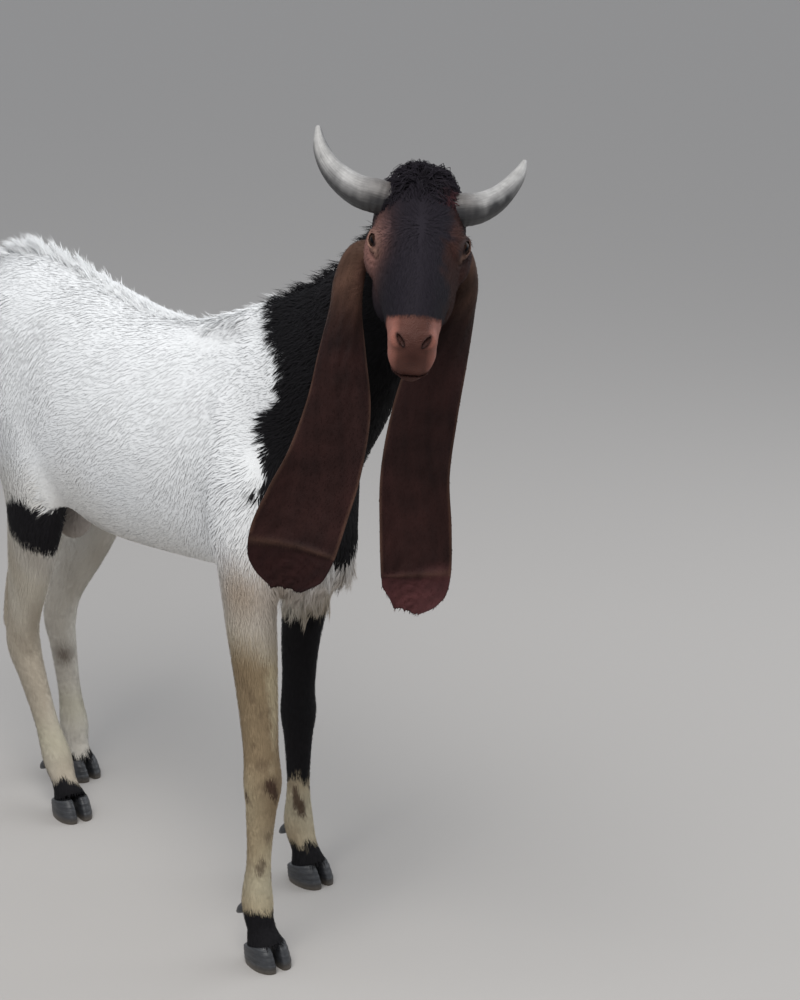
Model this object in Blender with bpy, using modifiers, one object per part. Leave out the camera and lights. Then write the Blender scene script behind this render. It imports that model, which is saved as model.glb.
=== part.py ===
"""A billy goat, long-eared and short-coated, as a still, life-size model on its own four feet.

Metres, +Z up. The goat faces -Y and its left side is +X. It is built round the point on the
ground midway between its four feet, and moved at the end so that the origin is at the middle
of its footprint, on the ground.
"""
import math
import random

import bmesh
import bpy
import numpy as np
from mathutils import Matrix, Vector
from mathutils.bvhtree import BVHTree

# Driving sizes
WITHERS_TOP = 0.842
RUMP_TOP = 0.877
GAP = 0.0003
SEED = 7

# Trunk, front to back: place along the body, top, bottom, half width, narrowing of the top
TRUNK = [
    (-0.405, 0.695, 0.610, 0.030, 0.00),
    (-0.385, 0.745, 0.570, 0.062, 0.05),
    (-0.335, 0.800, 0.527, 0.086, 0.20),
    (-0.250, WITHERS_TOP - 0.004, 0.508, 0.100, 0.42),
    (-0.150, WITHERS_TOP - 0.002, 0.497, 0.112, 0.36),
    (0.000, 0.832, 0.484, 0.125, 0.24),
    (0.110, 0.845, 0.482, 0.127, 0.22),
    (0.210, RUMP_TOP - 0.014, 0.516, 0.114, 0.26),
    (0.300, RUMP_TOP, 0.578, 0.106, 0.34),
    (0.370, RUMP_TOP - 0.005, 0.625, 0.092, 0.34),
    (0.420, RUMP_TOP - 0.020, 0.655, 0.068, 0.26),
    (0.455, 0.825, 0.690, 0.040, 0.10),
    (0.470, 0.790, 0.715, 0.016, 0.00),
]

# Neck, base to head: middle, half width, half height across the neck
NECK = [
    ((0.000, -0.180, 0.680), 0.070, 0.140),
    ((0.000, -0.270, 0.715), 0.078, 0.142),
    ((-0.002, -0.364, 0.781), 0.070, 0.118),
    ((-0.003, -0.435, 0.850), 0.060, 0.098),
    ((-0.004, -0.495, 0.913), 0.053, 0.083),
    ((-0.005, -0.540, 0.970), 0.049, 0.070),
    ((-0.012, -0.585, 1.005), 0.047, 0.060),
    ((-0.030, -0.620, 1.012), 0.040, 0.045),
]
NECK_CUT = Vector((0.0, -0.315, 0.735))
NECK_CUT_NORMAL = Vector((0.0, -0.763, 0.646))

# Crest of longer hair along the top of the neck and back: its dense core, and the locks over it
CREST_CORE = 0.009
CREST_HALF_WIDE = 0.010
CREST_LOCKS = 60
CREST_ROW = 0.0065
LOCK_LONG = 0.033
LOCK_HALF_WIDE = 0.0095
LOCK_HALF_THICK = 0.0045
LOCK_SINK = 0.35

# Shape of a lock, in its own length: height over the skin, reach along the lie, share of its width
LOCK_SHAPE = [(-LOCK_SINK, -0.15, 0.75), (0.08, 0.10, 1.00), (0.34, 0.48, 0.80), (0.52, 1.00, 0.10)]

# Curly hair over the poll: its dense core and its clumps
POLL_MIDDLE = Vector((-0.001, -0.066, 0.022))
POLL_CORE = (0.036, 0.043, 0.029)
POLL_CLUMPS = 16
CLUMP_RADIUS = 0.0145

# Head: middle of the eyes, the way it faces over the ground, its dip and its tilt sideways
EYE_MIDDLE = Vector((-0.0665, -0.6512, 1.0118))
HEAD_FACES = math.radians(-141.3)
HEAD_DIP = math.radians(35.0)
HEAD_TILT = math.radians(-5.0)
HEAD_SIZE = 1.07

# Head sections, poll to nose: length, top, bottom, half width, narrowing of the top, of the jaw
HEAD = [
    (-0.112, 0.010, -0.050, 0.030, 0.0, 0.0),
    (-0.100, 0.036, -0.074, 0.045, 0.0, 0.1),
    (-0.075, 0.051, -0.090, 0.052, 0.0, 0.3),
    (-0.045, 0.056, -0.094, 0.053, 0.0, 0.5),
    (-0.015, 0.056, -0.090, 0.052, 0.1, 0.6),
    (0.010, 0.056, -0.082, 0.051, 0.2, 0.6),
    (0.040, 0.056, -0.069, 0.043, 0.3, 0.5),
    (0.070, 0.052, -0.056, 0.036, 0.3, 0.4),
    (0.098, 0.045, -0.046, 0.030, 0.2, 0.42),
    (0.120, 0.038, -0.041, 0.0275, 0.1, 0.42),
    (0.136, 0.029, -0.038, 0.0265, 0.1, 0.50),
    (0.147, 0.017, -0.033, 0.021, 0.0, 0.40),
    (0.152, 0.004, -0.024, 0.011, 0.0, 0.0),
]

# Soft forms over the skull in its own directions, on each side and in the middle: place, radii
HEAD_SWELLS = {
    "orbit": ((0.0350, -0.002, 0.022), (0.0175, 0.025, 0.020)),
    "brow": ((0.0340, -0.008, 0.034), (0.0140, 0.022, 0.010)),
    "arch": ((0.0420, -0.012, -0.002), (0.0180, 0.040, 0.018)),
    "cheek": ((0.0280, 0.000, -0.045), (0.0190, 0.045, 0.032)),
    "nose_side": ((0.0135, 0.127, 0.014), (0.0140, 0.018, 0.016)),
    "lip": ((0.0110, 0.130, -0.005), (0.0145, 0.021, 0.012)),
}
CHIN = ((0.0, 0.125, -0.029), (0.0150, 0.019, 0.012))
HEAD_MELT = (0.0035, 5, 1500)

# Mouth: half width, middle of its bend, reach, height, rise to the corners, half thickness, half depth
MOUTH_WIDE = 0.030
MOUTH_MIDDLE = 0.106
MOUTH_REACH = 0.047
MOUTH_HIGH = -0.0165
MOUTH_RISE = 0.003
MOUTH_SLOT = (0.0014, 0.0050)
MOUTH_TURN = math.radians(100)

# Nostrils: bends from the front up and back, each with its radii
NOSTRIL = [
    ((0.0110, 0.1490, 0.0150), 0.0030, 0.0030),
    ((0.0150, 0.1435, 0.0215), 0.0042, 0.0038),
    ((0.0200, 0.1360, 0.0250), 0.0036, 0.0034),
    ((0.0230, 0.1290, 0.0250), 0.0022, 0.0022),
]

# Eyes, in head lengths: across, along, up
EYE_PLACE = (0.0415, -0.002, 0.0240)
EYE_RADIUS = 0.0135
EYE_FACES = (0.74, 0.45, 0.50)
LID_LONG = 0.0150
LID_HIGH = 0.0100
LID_THICK = 0.0027

# Horns, in head lengths: bends from base to tip, each with its radius
HORNS = {
    "horn_right": (-1, [
        ((0.028, -0.060, 0.028), 0.0180),
        ((0.049, -0.064, 0.030), 0.0192),
        ((0.070, -0.072, 0.028), 0.0178),
        ((0.091, -0.088, 0.029), 0.0152),
        ((0.107, -0.108, 0.032), 0.0120),
        ((0.117, -0.130, 0.037), 0.0084),
        ((0.121, -0.152, 0.043), 0.0030),
    ]),
    "horn_left": (1, [
        ((0.026, -0.056, 0.023), 0.0180),
        ((0.045, -0.060, 0.024), 0.0192),
        ((0.062, -0.067, 0.022), 0.0178),
        ((0.080, -0.080, 0.023), 0.0152),
        ((0.095, -0.098, 0.026), 0.0120),
        ((0.106, -0.118, 0.029), 0.0084),
        ((0.112, -0.137, 0.032), 0.0030),
    ]),
}

HORN_FLAT = 0.92

# Ears: bends from root to tip, each with the half width and the depth of its curl, which is
# negative where the edges turn back into a cup behind the ear
EAR_RIGHT = [
    ((-0.070, -0.592, 1.014), 0.0120, -0.70),
    ((-0.088, -0.568, 1.010), 0.0150, -0.78),
    ((-0.097, -0.558, 0.978), 0.0190, -0.72),
    ((-0.103, -0.558, 0.940), 0.0230, -0.52),
    ((-0.112, -0.562, 0.884), 0.0345, -0.28),
    ((-0.117, -0.561, 0.820), 0.0440, -0.06),
    ((-0.128, -0.549, 0.752), 0.0475, 0.14),
    ((-0.143, -0.535, 0.700), 0.0525, 0.20),
    ((-0.158, -0.524, 0.652), 0.0550, 0.20),
    ((-0.163, -0.520, 0.618), 0.0460, 0.20),
    ((-0.164, -0.516, 0.594), 0.0200, 0.20),
]
EAR_RIGHT_FACES = Vector((-0.72, -0.66, 0.12))
EAR_LEFT = [
    ((-0.006, -0.644, 1.012), 0.0120, -0.70),
    ((0.005, -0.645, 1.006), 0.0140, -0.78),
    ((0.008, -0.646, 0.975), 0.0180, -0.72),
    ((0.000, -0.642, 0.940), 0.0240, -0.52),
    ((-0.014, -0.631, 0.884), 0.0340, -0.28),
    ((-0.030, -0.622, 0.815), 0.0400, -0.06),
    ((-0.042, -0.617, 0.740), 0.0420, 0.14),
    ((-0.042, -0.618, 0.670), 0.0440, 0.20),
    ((-0.043, -0.620, 0.615), 0.0430, 0.20),
    ((-0.048, -0.618, 0.590), 0.0370, 0.20),
    ((-0.054, -0.614, 0.568), 0.0160, 0.20),
]
EAR_LEFT_FACES = Vector((-0.55, -0.80, 0.15))
EAR_THICK = 0.0055
EAR_COLUMNS = 7
EAR_FLATTEST = 0.02

# Legs: middles from the shoulder or hip down to the top of the hoof
LEGS = {
    "leg_fore_right": [
        (-0.078, -0.290, 0.680), (-0.088, -0.315, 0.590), (-0.090, -0.330, 0.510),
        (-0.091, -0.345, 0.400), (-0.094, -0.357, 0.310), (-0.095, -0.361, 0.262),
        (-0.096, -0.357, 0.215), (-0.098, -0.353, 0.145), (-0.099, -0.349, 0.085),
        (-0.100, -0.358, 0.050), (-0.100, -0.368, 0.024),
    ],
    "leg_fore_left": [
        (0.078, -0.270, 0.680), (0.088, -0.262, 0.590), (0.089, -0.235, 0.510),
        (0.090, -0.203, 0.400), (0.094, -0.188, 0.310), (0.095, -0.185, 0.262),
        (0.096, -0.182, 0.215), (0.097, -0.180, 0.145), (0.098, -0.178, 0.085),
        (0.099, -0.190, 0.050), (0.099, -0.200, 0.024),
    ],
    "leg_hind_right": [
        (-0.066, 0.285, 0.760), (-0.080, 0.255, 0.640), (-0.088, 0.222, 0.530),
        (-0.078, 0.264, 0.410), (-0.066, 0.310, 0.310), (-0.060, 0.326, 0.255),
        (-0.056, 0.310, 0.205), (-0.051, 0.283, 0.135), (-0.047, 0.261, 0.080),
        (-0.050, 0.237, 0.048), (-0.053, 0.217, 0.024),
    ],
    "leg_hind_left": [
        (0.066, 0.300, 0.760), (0.080, 0.300, 0.640), (0.086, 0.286, 0.530),
        (0.075, 0.335, 0.410), (0.061, 0.390, 0.310), (0.055, 0.408, 0.255),
        (0.053, 0.398, 0.205), (0.050, 0.380, 0.135), (0.046, 0.363, 0.080),
        (0.043, 0.352, 0.048), (0.041, 0.344, 0.024),
    ],
}
# Half width and half depth at the same places
FORE_SIZES = [
    (0.034, 0.066), (0.035, 0.058), (0.034, 0.047), (0.0275, 0.036), (0.0245, 0.0265),
    (0.0270, 0.0275), (0.0210, 0.0225), (0.0175, 0.0190), (0.0225, 0.0240),
    (0.0205, 0.0215), (0.0270, 0.0310),
]
HIND_SIZES = [
    (0.040, 0.110), (0.046, 0.112), (0.039, 0.070), (0.0290, 0.050), (0.0225, 0.0350),
    (0.0245, 0.0350), (0.0205, 0.0280), (0.0180, 0.0235), (0.0230, 0.0270),
    (0.0200, 0.0215), (0.0265, 0.0300),
]

# Muscle and bone under the skin, on each side and in the middle: place, radii, turn
BODY_SWELLS = {
    "shoulder": ((0.064, -0.262, 0.665), (0.036, 0.070, 0.130), math.radians(16)),
    "breast": ((0.030, -0.336, 0.575), (0.042, 0.068, 0.078), 0.0),
    "thigh": ((0.066, 0.320, 0.680), (0.046, 0.120, 0.150), 0.0),
    "hip_bone": ((0.074, 0.205, 0.800), (0.024, 0.034, 0.022), 0.0),
    "pin_bone": ((0.036, 0.436, 0.775), (0.024, 0.026, 0.032), 0.0),
}
BRISKET = ((0.0, -0.336, 0.578), (0.046, 0.071, 0.078))
HOCK_TENDONS = {
    "right": [((-0.072, 0.318, 0.440), 0.0110, 0.012), ((-0.061, 0.362, 0.292), 0.0115, 0.013),
              ((-0.061, 0.354, 0.272), 0.0120, 0.013)],
    "left": [((0.070, 0.372, 0.440), 0.0110, 0.012), ((0.056, 0.440, 0.292), 0.0115, 0.013),
             ((0.056, 0.432, 0.272), 0.0120, 0.013)],
}
BODY_MELT = (0.0065, 6, 3900)

# Hooves: two claws on each foot, with a small dewclaw behind each side of the fetlock
HOOVES = {
    "fore_right": ((-0.100, -0.376), math.radians(4)),
    "fore_left": ((0.099, -0.208), math.radians(-4)),
    "hind_right": ((-0.054, 0.208), math.radians(6)),
    "hind_left": ((0.040, 0.336), math.radians(-6)),
}
CLAW_LONG = 0.062
CLAW_WIDE = 0.0265
CLAW_SPLIT = 0.0030
CORONET = 0.0300
CORONET_SLOPE = math.radians(12)
DEWCLAW_LONG = 0.020
DEWCLAW_RADIUS = 0.0070

# Cuts between trunk and legs: a point on each cut and its slope towards the tail
FORE_CUT = (-0.300, 0.494, 0.00)
HIND_CUT = (0.220, 0.512, 0.46)
FORE_REACH = (-0.50, -0.165)
HIND_REACH = (0.10, 0.60)

TAIL = [
    ((0.000, 0.425, 0.838), 0.022, 0.015),
    ((0.000, 0.462, 0.843), 0.026, 0.015),
    ((0.000, 0.494, 0.834), 0.029, 0.014),
    ((0.000, 0.517, 0.808), 0.029, 0.013),
    ((0.000, 0.530, 0.772), 0.023, 0.011),
    ((0.000, 0.534, 0.735), 0.007, 0.004),
]
SCROTUM = [
    ((0.000, 0.285, 0.620), 0.016, 0.015),
    ((0.000, 0.278, 0.560), 0.017, 0.016),
    ((0.000, 0.268, 0.515), 0.024, 0.024),
    ((0.000, 0.262, 0.475), 0.031, 0.031),
    ((0.000, 0.260, 0.447), 0.025, 0.025),
    ((0.000, 0.260, 0.433), 0.009, 0.009),
]

COLOURS = {
    "white_coat": (0.78, 0.77, 0.74),
    "black_coat": (0.018, 0.017, 0.020),
    "ear_skin": (0.110, 0.038, 0.028),
    "horn": (0.300, 0.275, 0.235),
    "eye": (0.090, 0.040, 0.012),
    "hoof": (0.060, 0.065, 0.075),
    "bare_skin": (0.230, 0.190, 0.165),
}


def clear_scene():
    for thing in list(bpy.data.objects):
        bpy.data.objects.remove(thing, do_unlink=True)


def collection(name):
    made = bpy.data.collections.new(name)
    bpy.context.scene.collection.children.link(made)
    return made


def material(name, colour, roughness):
    made = bpy.data.materials.new(name)
    made.use_nodes = True
    shader = made.node_tree.nodes["Principled BSDF"]
    shader.inputs["Base Color"].default_value = (*colour, 1.0)
    shader.inputs["Roughness"].default_value = roughness
    shader.inputs["Metallic"].default_value = 0.0
    made.diffuse_color = (*colour, 1.0)
    return made


def through(stations, count):
    """Rows of numbers on a smooth curve through the stations."""
    rows = np.array(stations, dtype=float)
    ends = np.vstack([2 * rows[0] - rows[1], rows, 2 * rows[-1] - rows[-2]])
    made = []
    for place in np.linspace(0, len(rows) - 1, count):
        first = min(int(place), len(rows) - 2)
        f = place - first
        a, b, c, d = ends[first:first + 4]
        made.append(0.5 * (2 * b + (c - a) * f + (2 * a - 5 * b + 4 * c - d) * f ** 2
                           + (3 * b - a - 3 * c + d) * f ** 3))
    return np.array(made)


def skin_rings(name, rings, folder):
    """One closed body over rings of points, with a flat cap at each end."""
    mesh = bpy.data.meshes.new(name)
    bm = bmesh.new()
    loops = [[bm.verts.new(point) for point in ring] for ring in rings]
    for lower, upper in zip(loops, loops[1:]):
        for i in range(len(lower)):
            j = (i + 1) % len(lower)
            bm.faces.new((lower[i], lower[j], upper[j], upper[i]))
    bm.faces.new(loops[0][::-1])
    bm.faces.new(loops[-1])
    bmesh.ops.recalc_face_normals(bm, faces=bm.faces)
    bm.to_mesh(mesh)
    bm.free()
    made = bpy.data.objects.new(name, mesh)
    folder.objects.link(made)
    return made


def oval(angle, square=2.0):
    """A point on a unit oval. Higher values of square make it boxier."""
    c, s = math.cos(angle), math.sin(angle)
    bend = 2.0 / square
    return (math.copysign(abs(c) ** bend, c), math.copysign(abs(s) ** bend, s))


def angles(sides):
    return [2 * math.pi * i / sides for i in range(sides)]


def trunk_rings(count, sides, grow=0.0):
    rings = []
    for y, top, bottom, half, narrow in through(TRUNK, count):
        middle, tall = (top + bottom) / 2, (top - bottom) / 2 + grow
        ring = []
        for angle in angles(sides):
            across, up = oval(angle, 2.2)
            slim = 1 - narrow * max(up, 0.0) ** 1.5
            ring.append((across * (half + grow) * slim, y, middle + up * tall))
        rings.append(ring)
    return rings


def pipe_rings(stations, count, sides, side=Vector((1, 0, 0)), grow=0.0):
    """Oval rings square to a path, wide along side and deep across it."""
    rows = through([(*middle, wide, deep) for middle, wide, deep in stations], count)
    middles = [Vector(row[:3]) for row in rows]
    rings = []
    for i, row in enumerate(rows):
        ahead = middles[min(i + 1, count - 1)] - middles[max(i - 1, 0)]
        ahead.normalize()
        along = (side - ahead * side.dot(ahead)).normalized()
        deep = ahead.cross(along)
        ring = []
        for angle in angles(sides):
            across, up = oval(angle)
            ring.append(middles[i] + along * (across * (row[3] + grow)) + deep * (up * (row[4] + grow)))
        rings.append(ring)
    return rings


def ball(name, middle, radii, turn, folder, rows=12):
    mesh = bpy.data.meshes.new(name)
    bm = bmesh.new()
    place = Matrix.Translation(middle) @ Matrix.Rotation(turn, 4, "X") @ Matrix.Diagonal((*radii, 1.0))
    bmesh.ops.create_uvsphere(bm, u_segments=rows * 2, v_segments=rows, radius=1.0, matrix=place)
    bm.to_mesh(mesh)
    bm.free()
    made = bpy.data.objects.new(name, mesh)
    folder.objects.link(made)
    return made


def freeze(thing):
    """Apply all modifiers of an object to its mesh."""
    seen = thing.evaluated_get(bpy.context.evaluated_depsgraph_get())
    mesh = bpy.data.meshes.new_from_object(seen)
    thing.modifiers.clear()
    thing.data = mesh
    return thing


def duplicate(thing, name, folder):
    made = bpy.data.objects.new(name, thing.data.copy())
    folder.objects.link(made)
    return made


def drop(things):
    for thing in list(things):
        bpy.data.objects.remove(thing, do_unlink=True)


def join_loose(name, things, folder):
    """One object that holds the meshes of several."""
    bm = bmesh.new()
    for thing in things:
        bm.from_mesh(thing.data)
    mesh = bpy.data.meshes.new(name)
    bm.to_mesh(mesh)
    bm.free()
    drop(things)
    made = bpy.data.objects.new(name, mesh)
    folder.objects.link(made)
    return made


def boolean(thing, other, operation, solver="MANIFOLD"):
    cut = thing.modifiers.new(operation, "BOOLEAN")
    cut.operation = operation
    cut.solver = solver
    if isinstance(other, bpy.types.Collection):
        cut.operand_type = "COLLECTION"
        cut.collection = other
    else:
        cut.object = other
    return freeze(thing)


def largest_surface(thing):
    """Keep only the largest closed surface of a mesh, as triangles."""
    bm = bmesh.new()
    bm.from_mesh(thing.data)
    bmesh.ops.triangulate(bm, faces=bm.faces)
    bmesh.ops.remove_doubles(bm, verts=bm.verts, dist=1e-6)
    left = set(bm.faces)
    best = []
    while left:
        group = [left.pop()]
        for face in group:
            for edge in face.edges:
                for near in edge.link_faces:
                    if near in left:
                        left.remove(near)
                        group.append(near)
        if sum(f.calc_area() for f in group) > sum(f.calc_area() for f in best):
            best = group
    keep = set(best)
    bmesh.ops.delete(bm, geom=[f for f in bm.faces if f not in keep], context="FACES")
    bm.to_mesh(thing.data)
    bm.free()
    return thing


def face_out(thing):
    """Turn all faces of a closed mesh outward."""
    bm = bmesh.new()
    bm.from_mesh(thing.data)
    bmesh.ops.recalc_face_normals(bm, faces=bm.faces)
    bm.to_mesh(thing.data)
    bm.free()
    return thing


def inflate(thing, distance):
    """Move each corner of a mesh out along its normal."""
    bm = bmesh.new()
    bm.from_mesh(thing.data)
    bmesh.ops.recalc_face_normals(bm, faces=bm.faces)
    bm.normal_update()
    moves = [(v, v.normal * distance * v.calc_shell_factor()) for v in bm.verts]
    for corner, move in moves:
        corner.co += move
    bm.to_mesh(thing.data)
    bm.free()
    return thing


def melt(thing, voxel, rounds, triangles):
    """Fuse overlapping bodies into one smooth skin with about the given number of triangles."""
    remesh = thing.modifiers.new("remesh", "REMESH")
    remesh.mode = "VOXEL"
    remesh.voxel_size = voxel
    smooth = thing.modifiers.new("smooth", "SMOOTH")
    smooth.factor = 0.5
    smooth.iterations = rounds
    freeze(thing)
    faces = sum(len(p.vertices) - 2 for p in thing.data.polygons)
    thin = thing.modifiers.new("thin", "DECIMATE")
    thin.ratio = triangles / faces
    return largest_surface(freeze(thing))


def lock(name, root, out, lie, broad, long, folder):
    """A flat tapered lock with its root in the skin, bent over towards the lie of the coat."""
    stations = []
    for high, reach, share in LOCK_SHAPE:
        middle = root + out * (high * long) + lie * (reach * long)
        stations.append((middle, LOCK_HALF_WIDE * share, LOCK_HALF_THICK * share))
    return skin_rings(name, pipe_rings(stations, len(stations), 4, broad), folder)


def crest_locks(surface, draw, folder):
    """Locks in two staggered rows along the crest, each on the skin below it, lying back."""
    line = [Vector(row) for row in through([tuple(point) for point in crest_line()], CREST_LOCKS)]
    for i, point in enumerate(line):
        back = (line[min(i + 1, CREST_LOCKS - 1)] - line[max(i - 1, 0)]).normalized()
        side = 1 if i % 2 else -1
        seek = point + Vector((side * CREST_ROW * draw.uniform(0.7, 1.3), 0, CREST_CORE * 2))
        root, out, *_ = surface.find_nearest(seek)
        lie = (back + Vector((side * draw.uniform(0.0, 0.25), 0, 0))).normalized()
        broad = (back + Vector((side * draw.uniform(0.2, 0.9), 0, 0))).normalized()
        lock(f"crest_lock_{i}", root, out, lie, broad, LOCK_LONG * draw.uniform(0.85, 1.15), folder)


def poll_clumps(draw, folder):
    """Rounded clumps set close all over the poll, from the forehead back between the horns."""
    for i in range(POLL_CLUMPS):
        high = 1 - 0.80 * (i + 0.5) / POLL_CLUMPS
        turn = i * math.radians(137.5)
        flat = math.sqrt(1 - high ** 2)
        spoke = Vector((math.cos(turn) * flat, math.sin(turn) * flat, high))
        middle = POLL_MIDDLE + Vector([a * b for a, b in zip(spoke, POLL_CORE)])
        size = CLUMP_RADIUS * draw.uniform(0.85, 1.15)
        radii = (size, size * draw.uniform(0.9, 1.2), size * draw.uniform(0.65, 0.8))
        ball(f"poll_clump_{i}", middle, radii, draw.uniform(-0.4, 0.4), folder, 4)


def tail_locks(draw, folder):
    """Locks down both edges of the tail, with the longest at its tip."""
    for i, (middle, wide, _) in enumerate(TAIL[1:]):
        down = (Vector(middle) - Vector(TAIL[i][0])).normalized()
        for side in (-1, 1):
            root = Vector(middle) + Vector((side * wide * 0.6, 0, 0)) - down * 0.012
            out = Vector((side * 0.8, 0.5, 0)).normalized()
            long = LOCK_LONG * (0.8 + 0.12 * i) * draw.uniform(0.9, 1.1)
            lock(f"tail_lock_{i}_{side}", root, out, down, Vector((side, 0.2, 0)), long, folder)


def fuse(thing, pieces):
    """Join a collection of closed pieces to a body, and remove them."""
    boolean(thing, pieces, "UNION")
    drop(pieces.objects)
    bpy.data.collections.remove(pieces)
    return largest_surface(thing)


def tree_of(thing):
    """A search tree over the faces of a mesh."""
    bm = bmesh.new()
    bm.from_mesh(thing.data)
    tree = BVHTree.FromBMesh(bm)
    bm.free()
    return tree


def half_space(name, point, normal, size, folder):
    """A big box whose top face lies on a plane, filling the side the normal points away from."""
    mesh = bpy.data.meshes.new(name)
    bm = bmesh.new()
    turn = Vector((0, 0, 1)).rotation_difference(normal).to_matrix().to_4x4()
    place = Matrix.Translation(point) @ turn @ Matrix.Translation((0, 0, -size / 2))
    bmesh.ops.create_cube(bm, size=size, matrix=place)
    bm.to_mesh(mesh)
    bm.free()
    made = bpy.data.objects.new(name, mesh)
    made.display_type = "WIRE"
    made.hide_render = True
    folder.objects.link(made)
    return made


def leg_block(name, side, cut, reach, shift, folder):
    """The space that holds one leg below its slanted cut through the body."""
    y0, z0, slope = cut
    x0, x1 = sorted((0.002 * side, 0.30 * side))
    corners = []
    for y in reach:
        top = z0 + slope * (y - y0) + shift
        corners.append([(x0, y, top), (x1, y, top), (x1, y, -0.1), (x0, y, -0.1)])
    return skin_rings(name, corners, folder)


def leg_stations(name):
    sizes = FORE_SIZES if "fore" in name else HIND_SIZES
    return [(middle, *size) for middle, size in zip(LEGS[name], sizes)]


def crest_line():
    """Points along the top of the neck and back, from the poll to the tail head."""
    points = []
    for i in range(6, 1, -1):
        middle, _, half = NECK[i]
        ahead = (Vector(NECK[i][0]) - Vector(NECK[i - 1][0])).normalized()
        points.append(Vector(middle) + ahead.cross(Vector((1, 0, 0))) * half)
    points += [Vector((0, y, top)) for y, top, *_ in TRUNK[4:11]]
    return points


def body_forms(folder):
    """Overlapping bodies of the trunk, neck and legs."""
    crest = [(point, CREST_HALF_WIDE, CREST_CORE) for point in crest_line()]
    forms = [
        skin_rings("trunk", trunk_rings(30, 28), folder),
        skin_rings("neck_form", pipe_rings(NECK, 20, 24), folder),
        skin_rings("crest", pipe_rings(crest, 34, 10), folder),
    ]
    for name in LEGS:
        forms.append(skin_rings(name + "_form", pipe_rings(leg_stations(name), 32, 16), folder))
    for side in (-1, 1):
        for name, ((x, y, z), radii, turn) in BODY_SWELLS.items():
            forms.append(ball(name, (x * side, y, z), radii, turn, folder))
    forms.append(ball("brisket", *BRISKET, 0.0, folder))
    for name, tendon in HOCK_TENDONS.items():
        forms.append(skin_rings("hock_" + name, pipe_rings(tendon, 7, 10), folder))
    return forms


def cut_body(body, folder, cutters):
    """Part the fused skin into torso, neck and four legs, with a thin gap at each cut."""
    parts = {}
    torso = duplicate(body, "torso", folder)
    for name in LEGS:
        side = -1 if "right" in name else 1
        cut, reach = (FORE_CUT, FORE_REACH) if "fore" in name else (HIND_CUT, HIND_REACH)
        leg = duplicate(body, name, folder)
        boolean(leg, leg_block(name + "_keep", side, cut, reach, -GAP / 2, cutters), "INTERSECT")
        parts[name] = leg
        boolean(torso, leg_block(name + "_clear", side, cut, reach, GAP / 2, cutters), "DIFFERENCE")
    neck = duplicate(body, "neck", folder)
    base = NECK_CUT + NECK_CUT_NORMAL * (GAP / 2)
    boolean(neck, half_space("neck_keep", base, NECK_CUT_NORMAL, 2.0, cutters), "DIFFERENCE")
    base = NECK_CUT - NECK_CUT_NORMAL * (GAP / 2)
    boolean(torso, half_space("torso_keep", base, NECK_CUT_NORMAL, 2.0, cutters), "INTERSECT")
    parts["neck"] = neck
    parts["torso"] = torso
    for part in parts.values():
        largest_surface(part)
    drop([body])
    return parts


def head_axes():
    """The head's own directions: to its left, along to the nose, and up out of the forehead."""
    level = Vector((math.sin(HEAD_FACES), math.cos(HEAD_FACES), 0.0))
    left = Vector((-level.y, level.x, 0.0))
    tilt = Matrix.Rotation(HEAD_TILT, 3, level)
    along = level * math.cos(HEAD_DIP) - Vector((0, 0, math.sin(HEAD_DIP)))
    up = level * math.sin(HEAD_DIP) + Vector((0, 0, math.cos(HEAD_DIP)))
    return tilt @ left, tilt @ along, tilt @ up


def head_matrix():
    left, along, up = head_axes()
    frame = Matrix((left, along, up)).transposed().to_4x4() @ Matrix.Scale(HEAD_SIZE, 4)
    frame.translation = EYE_MIDDLE
    return frame


def head_shape(count, sides):
    """Rings of the bare head in its own directions: across, along, up."""
    rings = []
    for along, top, bottom, half, crown, jaw in through(HEAD, count):
        middle, tall = (top + bottom) / 2, (top - bottom) / 2
        ring = []
        for angle in angles(sides):
            across, up = oval(angle, 2.3)
            slim = 1 - (crown * 0.5 * max(up, 0) ** 2 + jaw * max(-up, 0) ** 1.3)
            ring.append(Vector((across * half * slim, along, middle + up * tall)))
        rings.append(ring)
    return rings


def ring_round(name, middle, outward, along, long, high, thick, folder, turns=16, sides=6):
    """A rounded rim, as of an eyelid: an oval ring of round section that faces outward."""
    up = outward.cross(along).normalized()
    rings = []
    bm = bmesh.new()
    for angle in angles(turns):
        spoke = along * (math.cos(angle) * long) + up * (math.sin(angle) * high)
        out = spoke.normalized()
        ring = []
        for turn in angles(sides):
            ring.append(bm.verts.new(middle + spoke + out * (math.cos(turn) * thick)
                                     + outward * (math.sin(turn) * thick)))
        rings.append(ring)
    for i, ring in enumerate(rings):
        near = rings[(i + 1) % turns]
        for j in range(sides):
            k = (j + 1) % sides
            bm.faces.new((ring[j], ring[k], near[k], near[j]))
    bmesh.ops.recalc_face_normals(bm, faces=bm.faces)
    mesh = bpy.data.meshes.new(name)
    bm.to_mesh(mesh)
    bm.free()
    made = bpy.data.objects.new(name, mesh)
    folder.objects.link(made)
    return made


def head_forms(folder):
    """The skull, brows, cheeks, lips and poll of the head, in the head's own directions."""
    forms = [skin_rings("skull", head_shape(34, 28), folder)]
    for side in (-1, 1):
        for name, ((x, y, z), radii) in HEAD_SWELLS.items():
            forms.append(ball(name, (x * side, y, z), radii, 0.0, folder))
    forms.append(ball("poll_core", POLL_MIDDLE, POLL_CORE, 0.0, folder))
    forms.append(ball("chin", *CHIN, 0.0, folder))
    return forms


def nostril_cutter(side, folder):
    """A slanted comma that opens forward and outward on the side of the nose."""
    bends = [((x * side, y, z), wide, deep) for (x, y, z), wide, deep in NOSTRIL]
    return skin_rings("nostril", pipe_rings(bends, 8, 8, Vector((0, 0, 1))), folder)


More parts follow.
